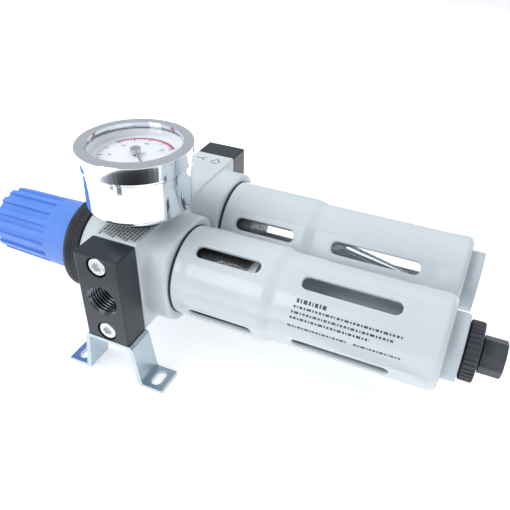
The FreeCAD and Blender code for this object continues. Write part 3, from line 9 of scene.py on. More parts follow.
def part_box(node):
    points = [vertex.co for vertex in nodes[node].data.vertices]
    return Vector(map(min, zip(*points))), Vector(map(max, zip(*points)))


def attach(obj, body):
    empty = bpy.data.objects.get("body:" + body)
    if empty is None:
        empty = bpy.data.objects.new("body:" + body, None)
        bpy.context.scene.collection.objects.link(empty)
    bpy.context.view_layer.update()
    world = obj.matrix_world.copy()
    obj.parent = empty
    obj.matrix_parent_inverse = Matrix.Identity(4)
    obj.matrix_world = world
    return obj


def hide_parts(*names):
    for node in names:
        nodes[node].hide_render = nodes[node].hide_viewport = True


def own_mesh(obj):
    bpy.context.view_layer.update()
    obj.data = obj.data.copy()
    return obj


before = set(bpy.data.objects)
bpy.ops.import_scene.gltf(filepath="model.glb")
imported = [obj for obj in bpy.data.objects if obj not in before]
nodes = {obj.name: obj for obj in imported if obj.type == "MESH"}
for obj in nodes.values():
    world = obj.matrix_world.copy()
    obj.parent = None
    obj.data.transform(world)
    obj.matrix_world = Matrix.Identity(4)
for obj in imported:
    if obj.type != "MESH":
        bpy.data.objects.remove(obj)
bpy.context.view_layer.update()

# ---------------------------------------------------------------- die-cast bodies
# Two zinc die castings, each a square port block between a round collar and a rounded-square
# bowl end. They are sprayed light grey over a slightly uneven as-cast skin, and they stand
# face to face, with their axes 40 mm apart.

MM = 0.001
AXIS_HEIGHT = 39.7
MODULE_HALF = 20.0
AXES = {
    "filter": (0.0, -MODULE_HALF, AXIS_HEIGHT),
    "oiler": (0.0, MODULE_HALF, AXIS_HEIGHT),
    "gauge": (-0.8, -MODULE_HALF, 0.0),
}


def made_of(name, points, faces, sharp=32.0):
    """A mesh piece from points in millimetres; joints flatter than the angle shade smoothly."""
    mesh = bpy.data.meshes.new(name)
    mesh.from_pydata([tuple(c * MM for c in p) for p in points], [], faces)
    work = bmesh.new()
    work.from_mesh(mesh)
    bmesh.ops.remove_doubles(work, verts=work.verts, dist=2e-7)
    bmesh.ops.recalc_face_normals(work, faces=work.faces)
    work.to_mesh(mesh)
    work.free()
    mesh.shade_smooth()
    mesh.set_sharp_from_angle(angle=math.radians(sharp))
    piece = bpy.data.objects.new(name, mesh)
    bpy.context.scene.collection.objects.link(piece)
    weigh = piece.modifiers.new("even_shading", "WEIGHTED_NORMAL")
    weigh.keep_sharp = True
    return piece


def skin_of(rings, closed):
    """Points and faces through equal rings; a closed skin joins its last ring to its first."""
    count = len(rings[0])
    points = [p for ring in rings for p in ring]
    faces = []
    for row in range(len(rings) if closed else len(rings) - 1):
        low, high = row * count, (row + 1) % len(rings) * count
        for column in range(count):
            after = (column + 1) % count
            faces.append((low + column, low + after, high + after, high + column))
    return points, faces


def round_axis(unit, along, radius, angle):
    """A point round a unit's axis; angles run from the near side over the top."""
    x, y, z = AXES[unit]
    if unit == "gauge":
        return (x + radius * math.cos(angle), y + radius * math.sin(angle), along)
    return (along, y - radius * math.cos(angle), z + radius * math.sin(angle))


def settle(piece, body, slot, material, *stands_for):
    """Gives a piece its material, its body and the nodes it stands for; its slot is not used."""
    piece.data.materials.clear()
    piece.data.materials.append(material)
    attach(piece, body)
    if stands_for:
        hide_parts(*stands_for)
    return piece


def dress(material, *names):
    """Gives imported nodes, whose shape is right as it is, their material."""
    for name in names:
        nodes[name].data.materials.clear()
        nodes[name].data.materials.append(material)


def new_group(name, inputs, outputs):
    """An empty node group: inputs are (name, kind, default), outputs are (name, kind)."""
    group = bpy.data.node_groups.new(name, "ShaderNodeTree")
    for label, kind, default in inputs:
        socket = group.interface.new_socket(label, in_out="INPUT", socket_type="NodeSocket" + kind)
        socket.default_value = default
    for label, kind in outputs:
        group.interface.new_socket(label, in_out="OUTPUT", socket_type="NodeSocket" + kind)
    return group, group.nodes.new("NodeGroupInput"), group.nodes.new("NodeGroupOutput")


def grain_group():
    """Slow colour drift, uneven gloss and a fine pebbled height, as on paint or moulding."""
    group, given, wanted = new_group("grain", (
        ("Color", "Color", (0.5, 0.5, 0.5, 1)),
        ("Drift Color", "Color", (0.4, 0.4, 0.4, 1)),
        ("Drift Size", "Float", 120.0),
        ("Pebble Size", "Float", 2500.0),
        ("Rough Low", "Float", 0.3),
        ("Rough High", "Float", 0.4),
    ), (("Color", "Color"), ("Roughness", "Float"), ("Height", "Float")))
    make, join = group.nodes.new, group.links.new
    place = make("ShaderNodeTexCoord")
    drift = make("ShaderNodeTexNoise")
    drift.inputs["Detail"].default_value = 4
    pebble = make("ShaderNodeTexNoise")
    pebble.inputs["Detail"].default_value = 2
    join(place.outputs["Object"], drift.inputs["Vector"])
    join(place.outputs["Object"], pebble.inputs["Vector"])
    join(given.outputs["Drift Size"], drift.inputs["Scale"])
    join(given.outputs["Pebble Size"], pebble.inputs["Scale"])
    spread = make("ShaderNodeMapRange")
    spread.inputs["From Min"].default_value = 0.35
    spread.inputs["From Max"].default_value = 0.68
    join(drift.outputs["Fac"], spread.inputs["Value"])
    tint = make("ShaderNodeMix")
    tint.data_type = "RGBA"
    join(spread.outputs["Result"], tint.inputs[0])
    join(given.outputs["Color"], tint.inputs[6])
    join(given.outputs["Drift Color"], tint.inputs[7])
    gloss = make("ShaderNodeMapRange")
    join(pebble.outputs["Fac"], gloss.inputs["Value"])
    join(given.outputs["Rough Low"], gloss.inputs["To Min"])
    join(given.outputs["Rough High"], gloss.inputs["To Max"])
    join(tint.outputs[2], wanted.inputs["Color"])
    join(gloss.outputs["Result"], wanted.inputs["Roughness"])
    join(pebble.outputs["Fac"], wanted.inputs["Height"])
    return group


GRAIN = grain_group()


def grained(name, color, drift, rough, bump=0.1, sizes=(120.0, 2500.0), metallic=0.0, coat=0.0,
            ior=1.5):
    """A material with the grain group in it: paint, moulded plastic, rubber or cast metal."""
    material = bpy.data.materials.new(name)
    material.use_nodes = True
    tree = material.node_tree
    shader = tree.nodes["Principled BSDF"]
    grain = tree.nodes.new("ShaderNodeGroup")
    grain.node_tree = GRAIN
    grain.inputs["Color"].default_value = (*color, 1)
    grain.inputs["Drift Color"].default_value = (*drift, 1)
    grain.inputs["Drift Size"].default_value = sizes[0]
    grain.inputs["Pebble Size"].default_value = sizes[1]
    grain.inputs["Rough Low"].default_value = rough[0]
    grain.inputs["Rough High"].default_value = rough[1]
    relief = tree.nodes.new("ShaderNodeBump")
    relief.inputs["Strength"].default_value = bump
    relief.inputs["Distance"].default_value = 0.00005
    tree.links.new(grain.outputs["Color"], shader.inputs["Base Color"])
    tree.links.new(grain.outputs["Roughness"], shader.inputs["Roughness"])
    tree.links.new(grain.outputs["Height"], relief.inputs["Height"])
    tree.links.new(relief.outputs["Normal"], shader.inputs["Normal"])
    shader.inputs["Metallic"].default_value = metallic
    shader.inputs["Coat Weight"].default_value = coat
    shader.inputs["Coat Roughness"].default_value = 0.12
    shader.inputs["IOR"].default_value = ior
    return material


body_paint = grained("body_paint", (0.55, 0.60, 0.63), (0.515, 0.565, 0.60), (0.34, 0.42), 0.25)


def rounded_square(half, corner, angle):
    """How far a rounded square's outline stands from its middle in one direction."""
    quarter = abs((angle + math.pi / 4) % (math.pi / 2) - math.pi / 4)
    core = half - corner
    flat = half / math.cos(quarter)
    if flat * math.sin(quarter) <= core:
        return flat
    lean = core * (math.cos(quarter) + math.sin(quarter))
    return lean + math.sqrt(max(lean * lean - 2 * core * core + corner * corner, 0))


def body_directions():
    """Directions round a body, closer together where the block has its corners."""
    quarter = [0, 4, 8, 12, 16, 20, 24, 28, 32, 36, 39, 41, 42.5, 43.4, 44, 44.3, 44.6, 44.8]
    half = quarter + [45] + [90 - a for a in reversed(quarter)][:-1]
    return [math.radians(a + 90 * k) for k in range(4) for a in half]


def casting(name, unit, body_node):
    """One body, lofted along its axis through a row of sections, then back through its bores."""
    collar, collar_end, collar_round = 18.3, -21.0, 0.7
    block_end, block_round, block_corner = 9.35, 0.5, 0.9
    collar_web, shoulder_web = 2.2, 4.2
    bowl_end, bowl_round, shoulder_half, shoulder_corner = 20.0, 1.6, 18.8, 12.3
    bonnet_bore, diaphragm_bore, valve_bore, bowl_bore = 15.2, 13.0, 6.0, 15.9
    directions = body_directions()
    sweep = [math.radians(15 * step) for step in range(7)]
    rings = []

    def ring(along, outline):
        rings.append([round_axis(unit, along, outline(a), a) for a in directions])

    def circle(radius):
        return lambda a: radius

    def block(inset):
        return lambda a: rounded_square(MODULE_HALF - inset, block_corner, a)

    def shoulder(inset):
        return lambda a: rounded_square(shoulder_half - inset, shoulder_corner - inset, a)

    def raised(lower, share, room):
        """An outline lifted towards the block's by a share of the room left under it."""
        return lambda a: lower(a) + min(room, block(block_round)(a) - lower(a)) * share

    ring(-14.0, circle(bonnet_bore))
    ring(collar_end, circle(bonnet_bore))
    ring(collar_end, circle(collar - collar_round - 0.1))
    for angle in sweep:
        ring(collar_end + collar_round * (1 - math.cos(angle)),
             circle(collar - collar_round * (1 - math.sin(angle))))
    for angle in sweep:
        ring(-block_end - collar_web * (1 - math.sin(angle)),
             raised(circle(collar), 1 - math.cos(angle), collar_web))
    for angle in sweep:
        ring(-block_end + block_round * (1 - math.cos(angle)),
             block(block_round * (1 - math.sin(angle))))
    for angle in reversed(sweep):
        ring(block_end - block_round * (1 - math.cos(angle)),
             block(block_round * (1 - math.sin(angle))))
    for angle in reversed(sweep):
        ring(block_end + shoulder_web * (1 - math.sin(angle)),
             raised(shoulder(0), 1 - math.cos(angle), shoulder_web))
    for angle in sweep:
        ring(bowl_end - bowl_round * (1 - math.sin(angle)),
             shoulder(bowl_round * (1 - math.cos(angle))))
    ring(bowl_end, circle(bowl_bore + 0.4))
    ring(bowl_end - 0.4, circle(bowl_bore))
    for along, bores in ((5.5, (bowl_bore, valve_bore)), (-8.0, (valve_bore, diaphragm_bore)),
                         (-11.3, (diaphragm_bore, bonnet_bore))):
        for bore in bores:
            ring(along, circle(bore))
    points, faces = skin_of(rings, closed=True)
    piece = made_of(name, points, faces, 40)
    return settle(piece, "frame", "body_grey", body_paint, body_node)


casting("regulator_casting", "filter", "regulator_body")
casting("lubricator_casting", "oiler", "lubricator_body")

# ---------------------------------------------------------------- name plates on the blocks
# Rows of ink strokes printed on top of the blocks. They stand for lettering, and say nothing:
# each is a plain short bar a few hundredths of a millimetre thick.

print_ink = grained("print_ink", (0.035, 0.037, 0.045), (0.08, 0.08, 0.09), (0.45, 0.6), 0.1)
INK_SUNK = 0.02
body_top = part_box("regulator_body")[1].z / MM


def ink_box(corners, lift):
    """A thin closed bar: four corners on a surface and the same four raised by a step."""
    points = [tuple(c) for c in corners] + [tuple(np.add(c, l)) for c, l in zip(corners, lift)]
    faces = [(3, 2, 1, 0), (4, 5, 6, 7), (0, 1, 5, 4), (1, 2, 6, 5), (2, 3, 7, 6), (3, 0, 4, 7)]
    return points, faces


def gathered(parts):
    """Several lists of points and faces as one."""
    points, faces = [], []
    for more_points, more_faces in parts:
        start = len(points)
        points += more_points
        faces += [tuple(i + start for i in face) for face in more_faces]
    return points, faces


def top_stroke(x0, y0, x1, y1, wide):
    """A bar of ink on top of a block, from one point to another."""
    way = Vector((x1 - x0, y1 - y0)).normalized() * wide / 2
    side = Vector((-way.y, way.x))
    corners = []
    for x, y, sign in ((x0, y0, -1), (x1, y1, 1)):
        corners.append((x - sign * side.x, y - sign * side.y, body_top - INK_SUNK))
        corners.append((x + sign * side.x, y + sign * side.y, body_top - INK_SUNK))
    return ink_box(corners, [(0, 0, INK_SUNK + 0.03)] * 4)


label_ink = grained("label_ink", (0.10, 0.10, 0.065), (0.17, 0.165, 0.12), (0.45, 0.6), 0.1)
ROW_START, ROW_STEP, BAR_WIDE, BAR_GAP = (-7.4, -39.0), 1.46, 0.72, 0.35
BAR_LENGTHS = (2.6, 1.1, 1.9, 2.3, 1.5)
label_bars = []
for row in range(11):
    x, y = ROW_START[0] + ROW_STEP * row, ROW_START[1] + 0.5 * (row * 3 % 4)
    for step in range(5):
        length = BAR_LENGTHS[(row + step * 2) % 5]
        label_bars.append(top_stroke(x, y, x, y + length, BAR_WIDE))
        y += length + BAR_GAP
points, faces = gathered(label_bars)
settle(made_of("regulator_label", points, faces), "frame", "plate_black", label_ink)

arrow = [(-6.6, 33.6, -3.4, 33.6), (-3.4, 33.6, -2.0, 31.9), (-3.4, 33.6, -2.0, 35.2),
         (1.2, 32.2, 3.6, 35.4), (3.6, 35.4, 5.8, 32.4), (1.9, 31.4, 5.4, 31.2)]
points, faces = gathered([top_stroke(*line, 0.45) for line in arrow])
settle(made_of("lubricator_label", points, faces), "frame", "plate_black", print_ink)

# ---------------------------------------------------------------- regulator inside
# Turned brass seat, poppet and spring nut, an alloy diaphragm plate on a rubber diaphragm, and
# two coiled springs. They are shut in between the body, the bonnet and the filter.


def brushed_group():
    """Fine turning or rolling marks: gloss and height vary along one way only."""
    group, given, wanted = new_group("tool_marks", (
        ("Color", "Color", (0.6, 0.6, 0.6, 1)),
        ("Mark Color", "Color", (0.5, 0.5, 0.5, 1)),
        ("Stretch", "Vector", (6000.0, 300.0, 300.0)),
        ("Rough Low", "Float", 0.25),
        ("Rough High", "Float", 0.45),
    ), (("Color", "Color"), ("Roughness", "Float"), ("Height", "Float")))
    make, join = group.nodes.new, group.links.new
    place = make("ShaderNodeTexCoord")
    scaled = make("ShaderNodeVectorMath")
    scaled.operation = "MULTIPLY"
    join(place.outputs["Object"], scaled.inputs[0])
    join(given.outputs["Stretch"], scaled.inputs[1])
    marks = make("ShaderNodeTexNoise")
    marks.inputs["Scale"].default_value = 1.0
    marks.inputs["Detail"].default_value = 5
    join(scaled.outputs["Vector"], marks.inputs["Vector"])
    tint = make("ShaderNodeMix")
    tint.data_type = "RGBA"
    join(marks.outputs["Fac"], tint.inputs[0])
    join(given.outputs["Color"], tint.inputs[6])
    join(given.outputs["Mark Color"], tint.inputs[7])
    gloss = make("ShaderNodeMapRange")
    join(marks.outputs["Fac"], gloss.inputs["Value"])
    join(given.outputs["Rough Low"], gloss.inputs["To Min"])
    join(given.outputs["Rough High"], gloss.inputs["To Max"])
    join(tint.outputs[2], wanted.inputs["Color"])
    join(gloss.outputs["Result"], wanted.inputs["Roughness"])
    join(marks.outputs["Fac"], wanted.inputs["Height"])
    return group


TOOL_MARKS = brushed_group()


def marked(name, color, mark, rough, stretch, bump=0.15):
    """A bare or plated metal with tool marks."""
    material = bpy.data.materials.new(name)
    material.use_nodes = True
    tree = material.node_tree
    shader = tree.nodes["Principled BSDF"]
    marks = tree.nodes.new("ShaderNodeGroup")
    marks.node_tree = TOOL_MARKS
    marks.inputs["Color"].default_value = (*color, 1)
    marks.inputs["Mark Color"].default_value = (*mark, 1)
    marks.inputs["Stretch"].default_value = stretch
    marks.inputs["Rough Low"].default_value = rough[0]
    marks.inputs["Rough High"].default_value = rough[1]
    relief = tree.nodes.new("ShaderNodeBump")
    relief.inputs["Strength"].default_value = bump
    relief.inputs["Distance"].default_value = 0.00003
    tree.links.new(marks.outputs["Color"], shader.inputs["Base Color"])
    tree.links.new(marks.outputs["Roughness"], shader.inputs["Roughness"])
    tree.links.new(marks.outputs["Height"], relief.inputs["Height"])
    tree.links.new(relief.outputs["Normal"], shader.inputs["Normal"])
    shader.inputs["Metallic"].default_value = 1.0
    return material


turned_brass = marked("turned_brass", (0.72, 0.53, 0.24), (0.55, 0.40, 0.18), (0.2, 0.35),
                      (9000.0, 400.0, 400.0))
turned_alloy = marked("turned_alloy", (0.70, 0.71, 0.72), (0.58, 0.59, 0.60), (0.25, 0.4),
                      (9000.0, 400.0, 400.0))
spring_wire = marked("spring_wire", (0.42, 0.42, 0.43), (0.30, 0.30, 0.31), (0.25, 0.4),
                     (700.0, 3000.0, 3000.0))
nitrile = grained("nitrile", (0.012, 0.012, 0.013), (0.022, 0.022, 0.022), (0.45, 0.6), 0.25,
                  (200.0, 6000.0))
dress(turned_brass, "valve_seat", "valve_poppet", "spring_nut")
dress(turned_alloy, "diaphragm_plate")
dress(spring_wire, "adjusting_spindle")
dress(nitrile, "module_seal", "inlet_seal", "outlet_seal")


def yielding(name, node, slot, material):
    """A soft piece in its node's shape, on a mesh of its own."""
    piece = bpy.data.objects.new(name, nodes[node].data.copy())
    piece.matrix_world = nodes[node].matrix_world.copy()
    bpy.context.scene.collection.objects.link(piece)
    settle(piece, "frame", slot, material, node)
    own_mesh(piece)


yielding("main_coil", "main_spring", "spring_steel", spring_wire)
yielding("valve_coil", "valve_spring", "spring_steel", spring_wire)
yielding("diaphragm_disc", "diaphragm", "rubber_black", nitrile)

# ---------------------------------------------------------------- bonnet and collar nut
# Glass-filled nylon, black. The bonnet's flange is clamped on the body by the collar nut, which
# has a smooth chamfered rim and a straight knurl moulded round it.

black_nylon = grained("black_nylon", (0.022, 0.024, 0.030), (0.035, 0.037, 0.043), (0.38, 0.52), 0.35,
                      (160.0, 3500.0))
KNURLS, KNURL_DEEP = 110, 0.36
dress(black_nylon, "bonnet", "valve_cap", "swirl_disc")


def rounded(corners, steps=5):
    """An outline of (along, out, rounding) corners, closed, with each rounding as an arc."""
    outline = []
    for index, (along, out, radius) in enumerate(corners):
        here = Vector((along, out))
        if radius <= 0:
            outline.append((along, out))
            continue
        before = Vector(corners[index - 1][:2]) - here
        after = Vector(corners[(index + 1) % len(corners)][:2]) - here
        before.normalize()
        after.normalize()
        half = before.angle(after) / 2
        middle = here + (before + after).normalized() * radius / math.sin(half)
        start = here + before * radius / math.tan(half) - middle
        end = here + after * radius / math.tan(half) - middle
        for step in range(steps + 1):
            share = step / steps
            way = start.slerp(end, share)
            outline.append(tuple(middle + way.normalized() * radius))
    return outline


def spun(name, unit, outline, steps=128, relief=None, sharp=32.0, turn=0.0):
    """A piece turned about a unit's axis from a closed outline; relief moves its skin in or out."""
    angles = [math.tau * k / steps + turn for k in range(steps)]
    rings = []
    for along, out in outline:
        ring = []
        for angle in angles:
            reach = out + (relief(along, out, angle) if relief and out > 0 else 0.0)
            ring.append(round_axis(unit, along, max(reach, 0.0), angle))
        rings.append(ring)
    points, faces = skin_of(rings, closed=True)
    return made_of(name, points, faces, sharp)


def nut_knurl(along, out, angle):
    """Straight knurl on the outside of the nut, left off its chamfered rim."""
    if out < 19.2 or along < -26.0:
        return 0.0
    return -KNURL_DEEP * max(0.0, min(1.0, 0.5 + 1.4 * math.cos(angle * KNURLS)))


nut = rounded([
    (-28.3, 15.2, 0.2), (-28.3, 18.5, 0.4), (-27.3, 19.5, 0.5), (-26.1, 19.5, 0), (-25.95, 19.5, 0),
    (-24.3, 19.5, 0), (-24.2, 19.3, 0), (-24.0, 19.3, 0), (-23.9, 19.5, 0), (-21.5, 19.5, 0),
    (-21.2, 19.15, 0), (-21.2, 17.2, 0), (-27.4, 17.2, 0), (-27.4, 15.2, 0),
])
settle(spun("knurled_collar_nut", "filter", nut, 8 * KNURLS, nut_knurl, 50), "frame", "black_plastic",
       black_nylon, "collar_nut")

# ---------------------------------------------------------------- pressure knob
# Blue acetal moulding. Sixteen shallow flat-bottomed grip grooves run from the end face and stop
# square before a smooth skirt; it slides on the spindle's hexagon.

blue_acetal = grained("blue_acetal", (0.105, 0.245, 0.70), (0.09, 0.22, 0.655), (0.40, 0.50), 0.3,
                      (90.0, 2600.0))
GROOVES, GROOVE_DEEP, GROOVE_STOP = 16, 1.0, -42.7
KNOB_FACE, KNOB_END, KNOB_TAPER = -69.0, -27.8, 0.7 / 41.2


def eased(value, low, high):
    """0 below low, 1 above high, and a smooth rise between them."""
    share = min(1.0, max(0.0, (value - low) / (high - low)))
    return share * share * (3 - 2 * share)


def knob_grip(along, out, angle):
    """Grip grooves: flat floors between narrow sloped walls, ending square before the skirt."""
    if out < 11.0:
        return 0.0
    across = abs((angle / math.tau * GROOVES) % 1.0 - 0.5) * 2
    groove = 1 - eased(across, 0.47, 0.56)
    ending = 1 - eased(along, GROOVE_STOP, GROOVE_STOP + 0.35)
    return -GROOVE_DEEP * groove * ending * eased(out, 11.0, 12.6)


knob_rim = [(KNOB_FACE + 1.1 * (1 - math.cos(math.radians(15 * k))),
             12.8 + 1.11 * math.sin(math.radians(15 * k))) for k in range(7)]
knob_side = [(KNOB_FACE + 1.1 + 0.55 * k, 13.91 + KNOB_TAPER * 0.55 * k) for k in range(1, 45)]
knob_stop = [(x, 13.9 + KNOB_TAPER * (x - KNOB_FACE))
             for x in (-42.8, GROOVE_STOP, -42.6, -42.5, -42.4, -42.35, -41.6)]
knob = ([(-68.4, 0.0), (-68.4, 8.6), (-68.55, 8.95), (KNOB_FACE, 9.2), (KNOB_FACE, 11.2)] + knob_rim
        + knob_side + knob_stop
        + [(-28.2, 14.6), (-27.9, 14.5), (KNOB_END, 14.3), (KNOB_END, 12.0), (-64.5, 12.0), (-64.5, 5.6),
           (-53.8, 5.6), (-53.8, 0.0)])
settle(spun("grip_knob", "filter", knob, 36 * GROOVES, knob_grip, 38, math.radians(4)), "knob",
       "knob_blue", blue_acetal, "pressure_knob")
dress(blue_acetal, "oil_screw")

# ---------------------------------------------------------------- filter
# A pressed element of sintered granules behind a swirl disc, with a moulded baffle under it. A
# brass rod through all three screws into the valve cap.

sintered = grained("sintered", (0.10, 0.095, 0.095), (0.045, 0.045, 0.05), (0.8, 0.95), 1.0,
                   (900.0, 1800.0))
white_moulding = grained("white_moulding", (0.78, 0.79, 0.78), (0.70, 0.71, 0.70), (0.4, 0.5), 0.2)
dress(sintered, "filter_element")
dress(white_moulding, "baffle", "drain_plunger", "siphon_strainer")
dress(turned_brass, "filter_rod")

# ---------------------------------------------------------------- bowls
# Injection-moulded polycarbonate, clear, with a grooved neck for a rubber ring. The spigot at
# the foot comes out through the guard's end. A black rubber ring cushions the guard. The clear
# pieces cast no shadow, because light has to pass into them.


def clear(name, tint, rough, ior):
    """A see-through moulding with faint streaks in its gloss."""
    material = bpy.data.materials.new(name)
    material.use_nodes = True
    tree = material.node_tree
    shader = tree.nodes["Principled BSDF"]
    streaks = tree.nodes.new("ShaderNodeGroup")
    streaks.node_tree = GRAIN
    streaks.inputs["Color"].default_value = (*tint, 1)
    streaks.inputs["Drift Color"].default_value = (*[c * 0.97 for c in tint], 1)
    streaks.inputs["Drift Size"].default_value = 60.0
    streaks.inputs["Pebble Size"].default_value = 300.0
    streaks.inputs["Rough Low"].default_value = rough[0]
    streaks.inputs["Rough High"].default_value = rough[1]
    tree.links.new(streaks.outputs["Color"], shader.inputs["Base Color"])
    tree.links.new(streaks.outputs["Roughness"], shader.inputs["Roughness"])
    shader.inputs["Transmission Weight"].default_value = 1.0
    shader.inputs["Metallic"].default_value = 0.0
    shader.inputs["IOR"].default_value = ior
    return material


clear_bowl = clear("clear_bowl", (0.93, 0.95, 0.97), (0.02, 0.06), 1.35)
for name in ("filter_bowl", "lubricator_bowl", "sight_dome", "siphon_tube"):
    dress(clear_bowl, name)
    nodes[name].visible_shadow = False
    nodes[name].visible_diffuse = False
milky = grained("milky", (0.47, 0.53, 0.58), (0.42, 0.48, 0.53), (0.2, 0.32), 0.1, (60.0, 2500.0),
                coat=0.3)
spigot = rounded([(118.0, 4.6, 0), (118.0, 12.06, 0), (125.0, 12.06, 0.6), (125.0, 4.6, 0)])
dress(nitrile, "filter_bowl_seal", "lubricator_bowl_seal", "dome_seal", "gauge_seal", "flow_flap")

cushion = rounded([(20.0, 15.9, 0), (20.0, 18.1, 0.3), (20.95, 18.1, 0.3), (20.95, 15.9, 0)])
for unit, side in (("filter", "filter"), ("oiler", "lubricator")):
    ring = spun(side + "_cushion", unit, cushion, 128)
    settle(ring, "frame", "rubber_black", nitrile, side + "_cushion_ring")
    settle(spun(side + "_spigot", unit, spigot, 128), side + "_bowl", "clear_plastic", milky)

# ---------------------------------------------------------------- bowl guards
# Deep-drawn steel shells sprayed pale grey, a shade bluer than the bodies. Each has a round rim,
# a wide part and a narrow part; four flats are pressed along it, and every flat has two windows.

guard_paint = grained("guard_paint", (0.55, 0.60, 0.635), (0.515, 0.57, 0.61), (0.20, 0.28), 0.15,
                      (45.0, 2200.0), coat=0.35)
GUARD_START, GUARD_END, END_ROUND = 21.1, 120.0, 2.6
STEP_START, STEP_END = 56.4, 61.4
FLAT = math.radians(16.5)
WINDOWS = ((27.4, 52.9), (68.8, 103.8))
WINDOW_HALF, WINDOW_CORNER, WINDOW_EDGE, MARGIN = 2.6, 2.2, 0.5, 1.5


def guard_reach(along):
    """The guard's outer radius off its flats, along its axis."""
    flare = 17.9 + 0.4 * eased(along, 23.0, 27.5)
    step = 1.1 * eased(along, STEP_START, STEP_END)
    corner = max(0.0, along - (GUARD_END - END_ROUND))
    return flare - step - (END_ROUND - math.sqrt(max(END_ROUND ** 2 - corner ** 2, 0.0)))


def guard_skin(along, off):
    """The outer radius with the flats pressed in; off is the angle from a flat's middle."""
    full = guard_reach(along)
    flat = full * math.cos(FLAT) / math.cos(off) if abs(off) < 0.9 else full * 2
    pressed = eased(along, 25.2, 28.6) * (1 - eased(along, 108.0, 117.0))
    soft = 0.06
    lower = -soft * math.log(math.exp(-full / soft + 200) + math.exp(-flat / soft + 200)) + soft * 200
    return full + (min(lower, full) - full) * pressed


def guard_bore(along):
    """The guard's inner radius."""
    return 16.5 - 0.9 * eased(along, STEP_START, STEP_END)


def window_ring(loop, centre, half, grow):
    """Points of a window's outline grown by a margin, one for each point of the loop round it."""
    core = Vector((half - WINDOW_CORNER, WINDOW_HALF - WINDOW_CORNER))
    found = []
    for along, across in loop:
        near = Vector((max(-core.x, min(core.x, along - centre)), max(-core.y, min(core.y, across))))
        way = Vector((along - centre, across)) - near
        found.append(near + way.normalized() * (WINDOW_CORNER + grow) + Vector((centre, 0)))
    return found


def guard_shell(name, unit, turn):
    """A closed guard: outer and inner skins joined at both ends and round every window."""
    patches = [(left - MARGIN, right + MARGIN) for left, right in WINDOWS]
    rows = sorted(set(
        [round(v, 4) for v in np.arange(GUARD_START, 25.0, 0.65)] + [25.2]
        + [round(v, 4) for low, high in patches
           for v in np.linspace(low, high, int((high - low) / 0.62) + 1)]
        + [round(v, 4) for v in np.linspace(54.9, 66.9, 22)]
        + [round(v, 4) for v in np.linspace(106.0, 117.0, 12)]
        + [round(GUARD_END - END_ROUND * (1 - math.sin(math.radians(a))), 4) for a in range(10, 81, 10)]
        + [GUARD_END]
    ))
    inside = [math.radians(v) for v in np.linspace(-13.4, 13.4, 21)]
    outside = (14.6, 15.6, 16.1, 16.5, 16.9, 17.5, 18.6, 21, 25, 29, 33, 37, 41)
    outside = [math.radians(v) for v in outside]
    offs = [-v for v in reversed(outside)] + inside + outside + [math.radians(45)]
    first, last = len(outside), len(outside) + len(inside) - 1
    per = len(offs)
    points, faces, skin = [], [], {}

    def add(along, angle, radius):
        points.append(round_axis(unit, along, radius, angle))
        return len(points) - 1

    def flat_depth(along):
        return guard_reach(along) * math.cos(FLAT)

    def on_skin(side, along, quarter, off, depth=0.0):
        angle = turn + quarter * math.pi / 2 + off
        reach = guard_skin(along, off) - depth if side == "out" else guard_bore(along)
        return add(along, angle, reach)

    def hidden(row, column):
        along = rows[row]
        return first < column < last and any(low + 1e-6 < along < high - 1e-6 for low, high in patches)

    for side in ("out", "in"):
        for row, along in enumerate(rows):
            for quarter in range(4):
                for column, off in enumerate(offs):
                    if not hidden(row, column):
                        skin[side, row, quarter * per + column] = on_skin(side, along, quarter, off)
    total = 4 * per

    def quad(a, b, c, d):
        faces.append((a, b, c, d))

    for side in ("out", "in"):
        for row in range(len(rows) - 1):
            for column in range(total):
                after = (column + 1) % total
                middle = (rows[row] + rows[row + 1]) / 2
                within = first <= column % per < last
                if within and any(low < middle < high for low, high in patches):
                    continue
                quad(skin[side, row, column], skin[side, row, after],
                     skin[side, row + 1, after], skin[side, row + 1, column])
    for row in (0, len(rows) - 1):
        for column in range(total):
            after = (column + 1) % total
            quad(skin["out", row, column], skin["out", row, after],
                 skin["in", row, after], skin["in", row, column])

    for (left, right), (low, high) in zip(WINDOWS, patches):
        lines = [row for row, along in enumerate(rows) if low - 1e-6 <= along <= high + 1e-6]
        centre, half = (left + right) / 2, (right - left) / 2
        edge = ([(lines[0], c) for c in range(first, last)] + [(r, last) for r in lines[:-1]]
                + [(lines[-1], c) for c in range(last, first, -1)]
                + [(r, first) for r in reversed(lines[1:])])
        depth = flat_depth(centre)
        loop = [(rows[r], depth * math.tan(offs[c])) for r, c in edge]
        wall = depth - guard_bore(centre)
        steps = [(0.5, None, 0.0)]
        steps += [(None, WINDOW_EDGE * (1 - math.sin(math.radians(a))),
                   WINDOW_EDGE * (1 - math.cos(math.radians(a)))) for a in (0, 22, 45, 68, 90)]
        steps += [(None, 0.0, wall * 0.8)]
        for quarter in range(4):
            before = [skin["out", r, quarter * per + c] for r, c in edge]
            rim = window_ring(loop, centre, half, WINDOW_EDGE)
            for mix, grow, down in steps:
                if mix is not None:
                    ring = [Vector(a).lerp(b, mix) for a, b in zip(loop, rim)]
                else:
                    ring = window_ring(loop, centre, half, grow)
                now = [on_skin("out", u, quarter, math.atan(s / flat_depth(u)), down) for u, s in ring]
                for i in range(len(edge)):
                    j = (i + 1) % len(edge)
                    quad(before[i], before[j], now[j], now[i])
                before = now
            outline = window_ring(loop, centre, half, 0.0)
            now = [on_skin("in", u, quarter, math.atan(s / flat_depth(u))) for u, s in outline]
            for i in range(len(edge)):
                j = (i + 1) % len(edge)
                quad(before[i], before[j], now[j], now[i])
            back = [skin["in", r, quarter * per + c] for r, c in edge]
            for i in range(len(edge)):
                j = (i + 1) % len(edge)
                quad(now[i], now[j], back[j], back[i])
    return made_of(name, points, faces, 42)


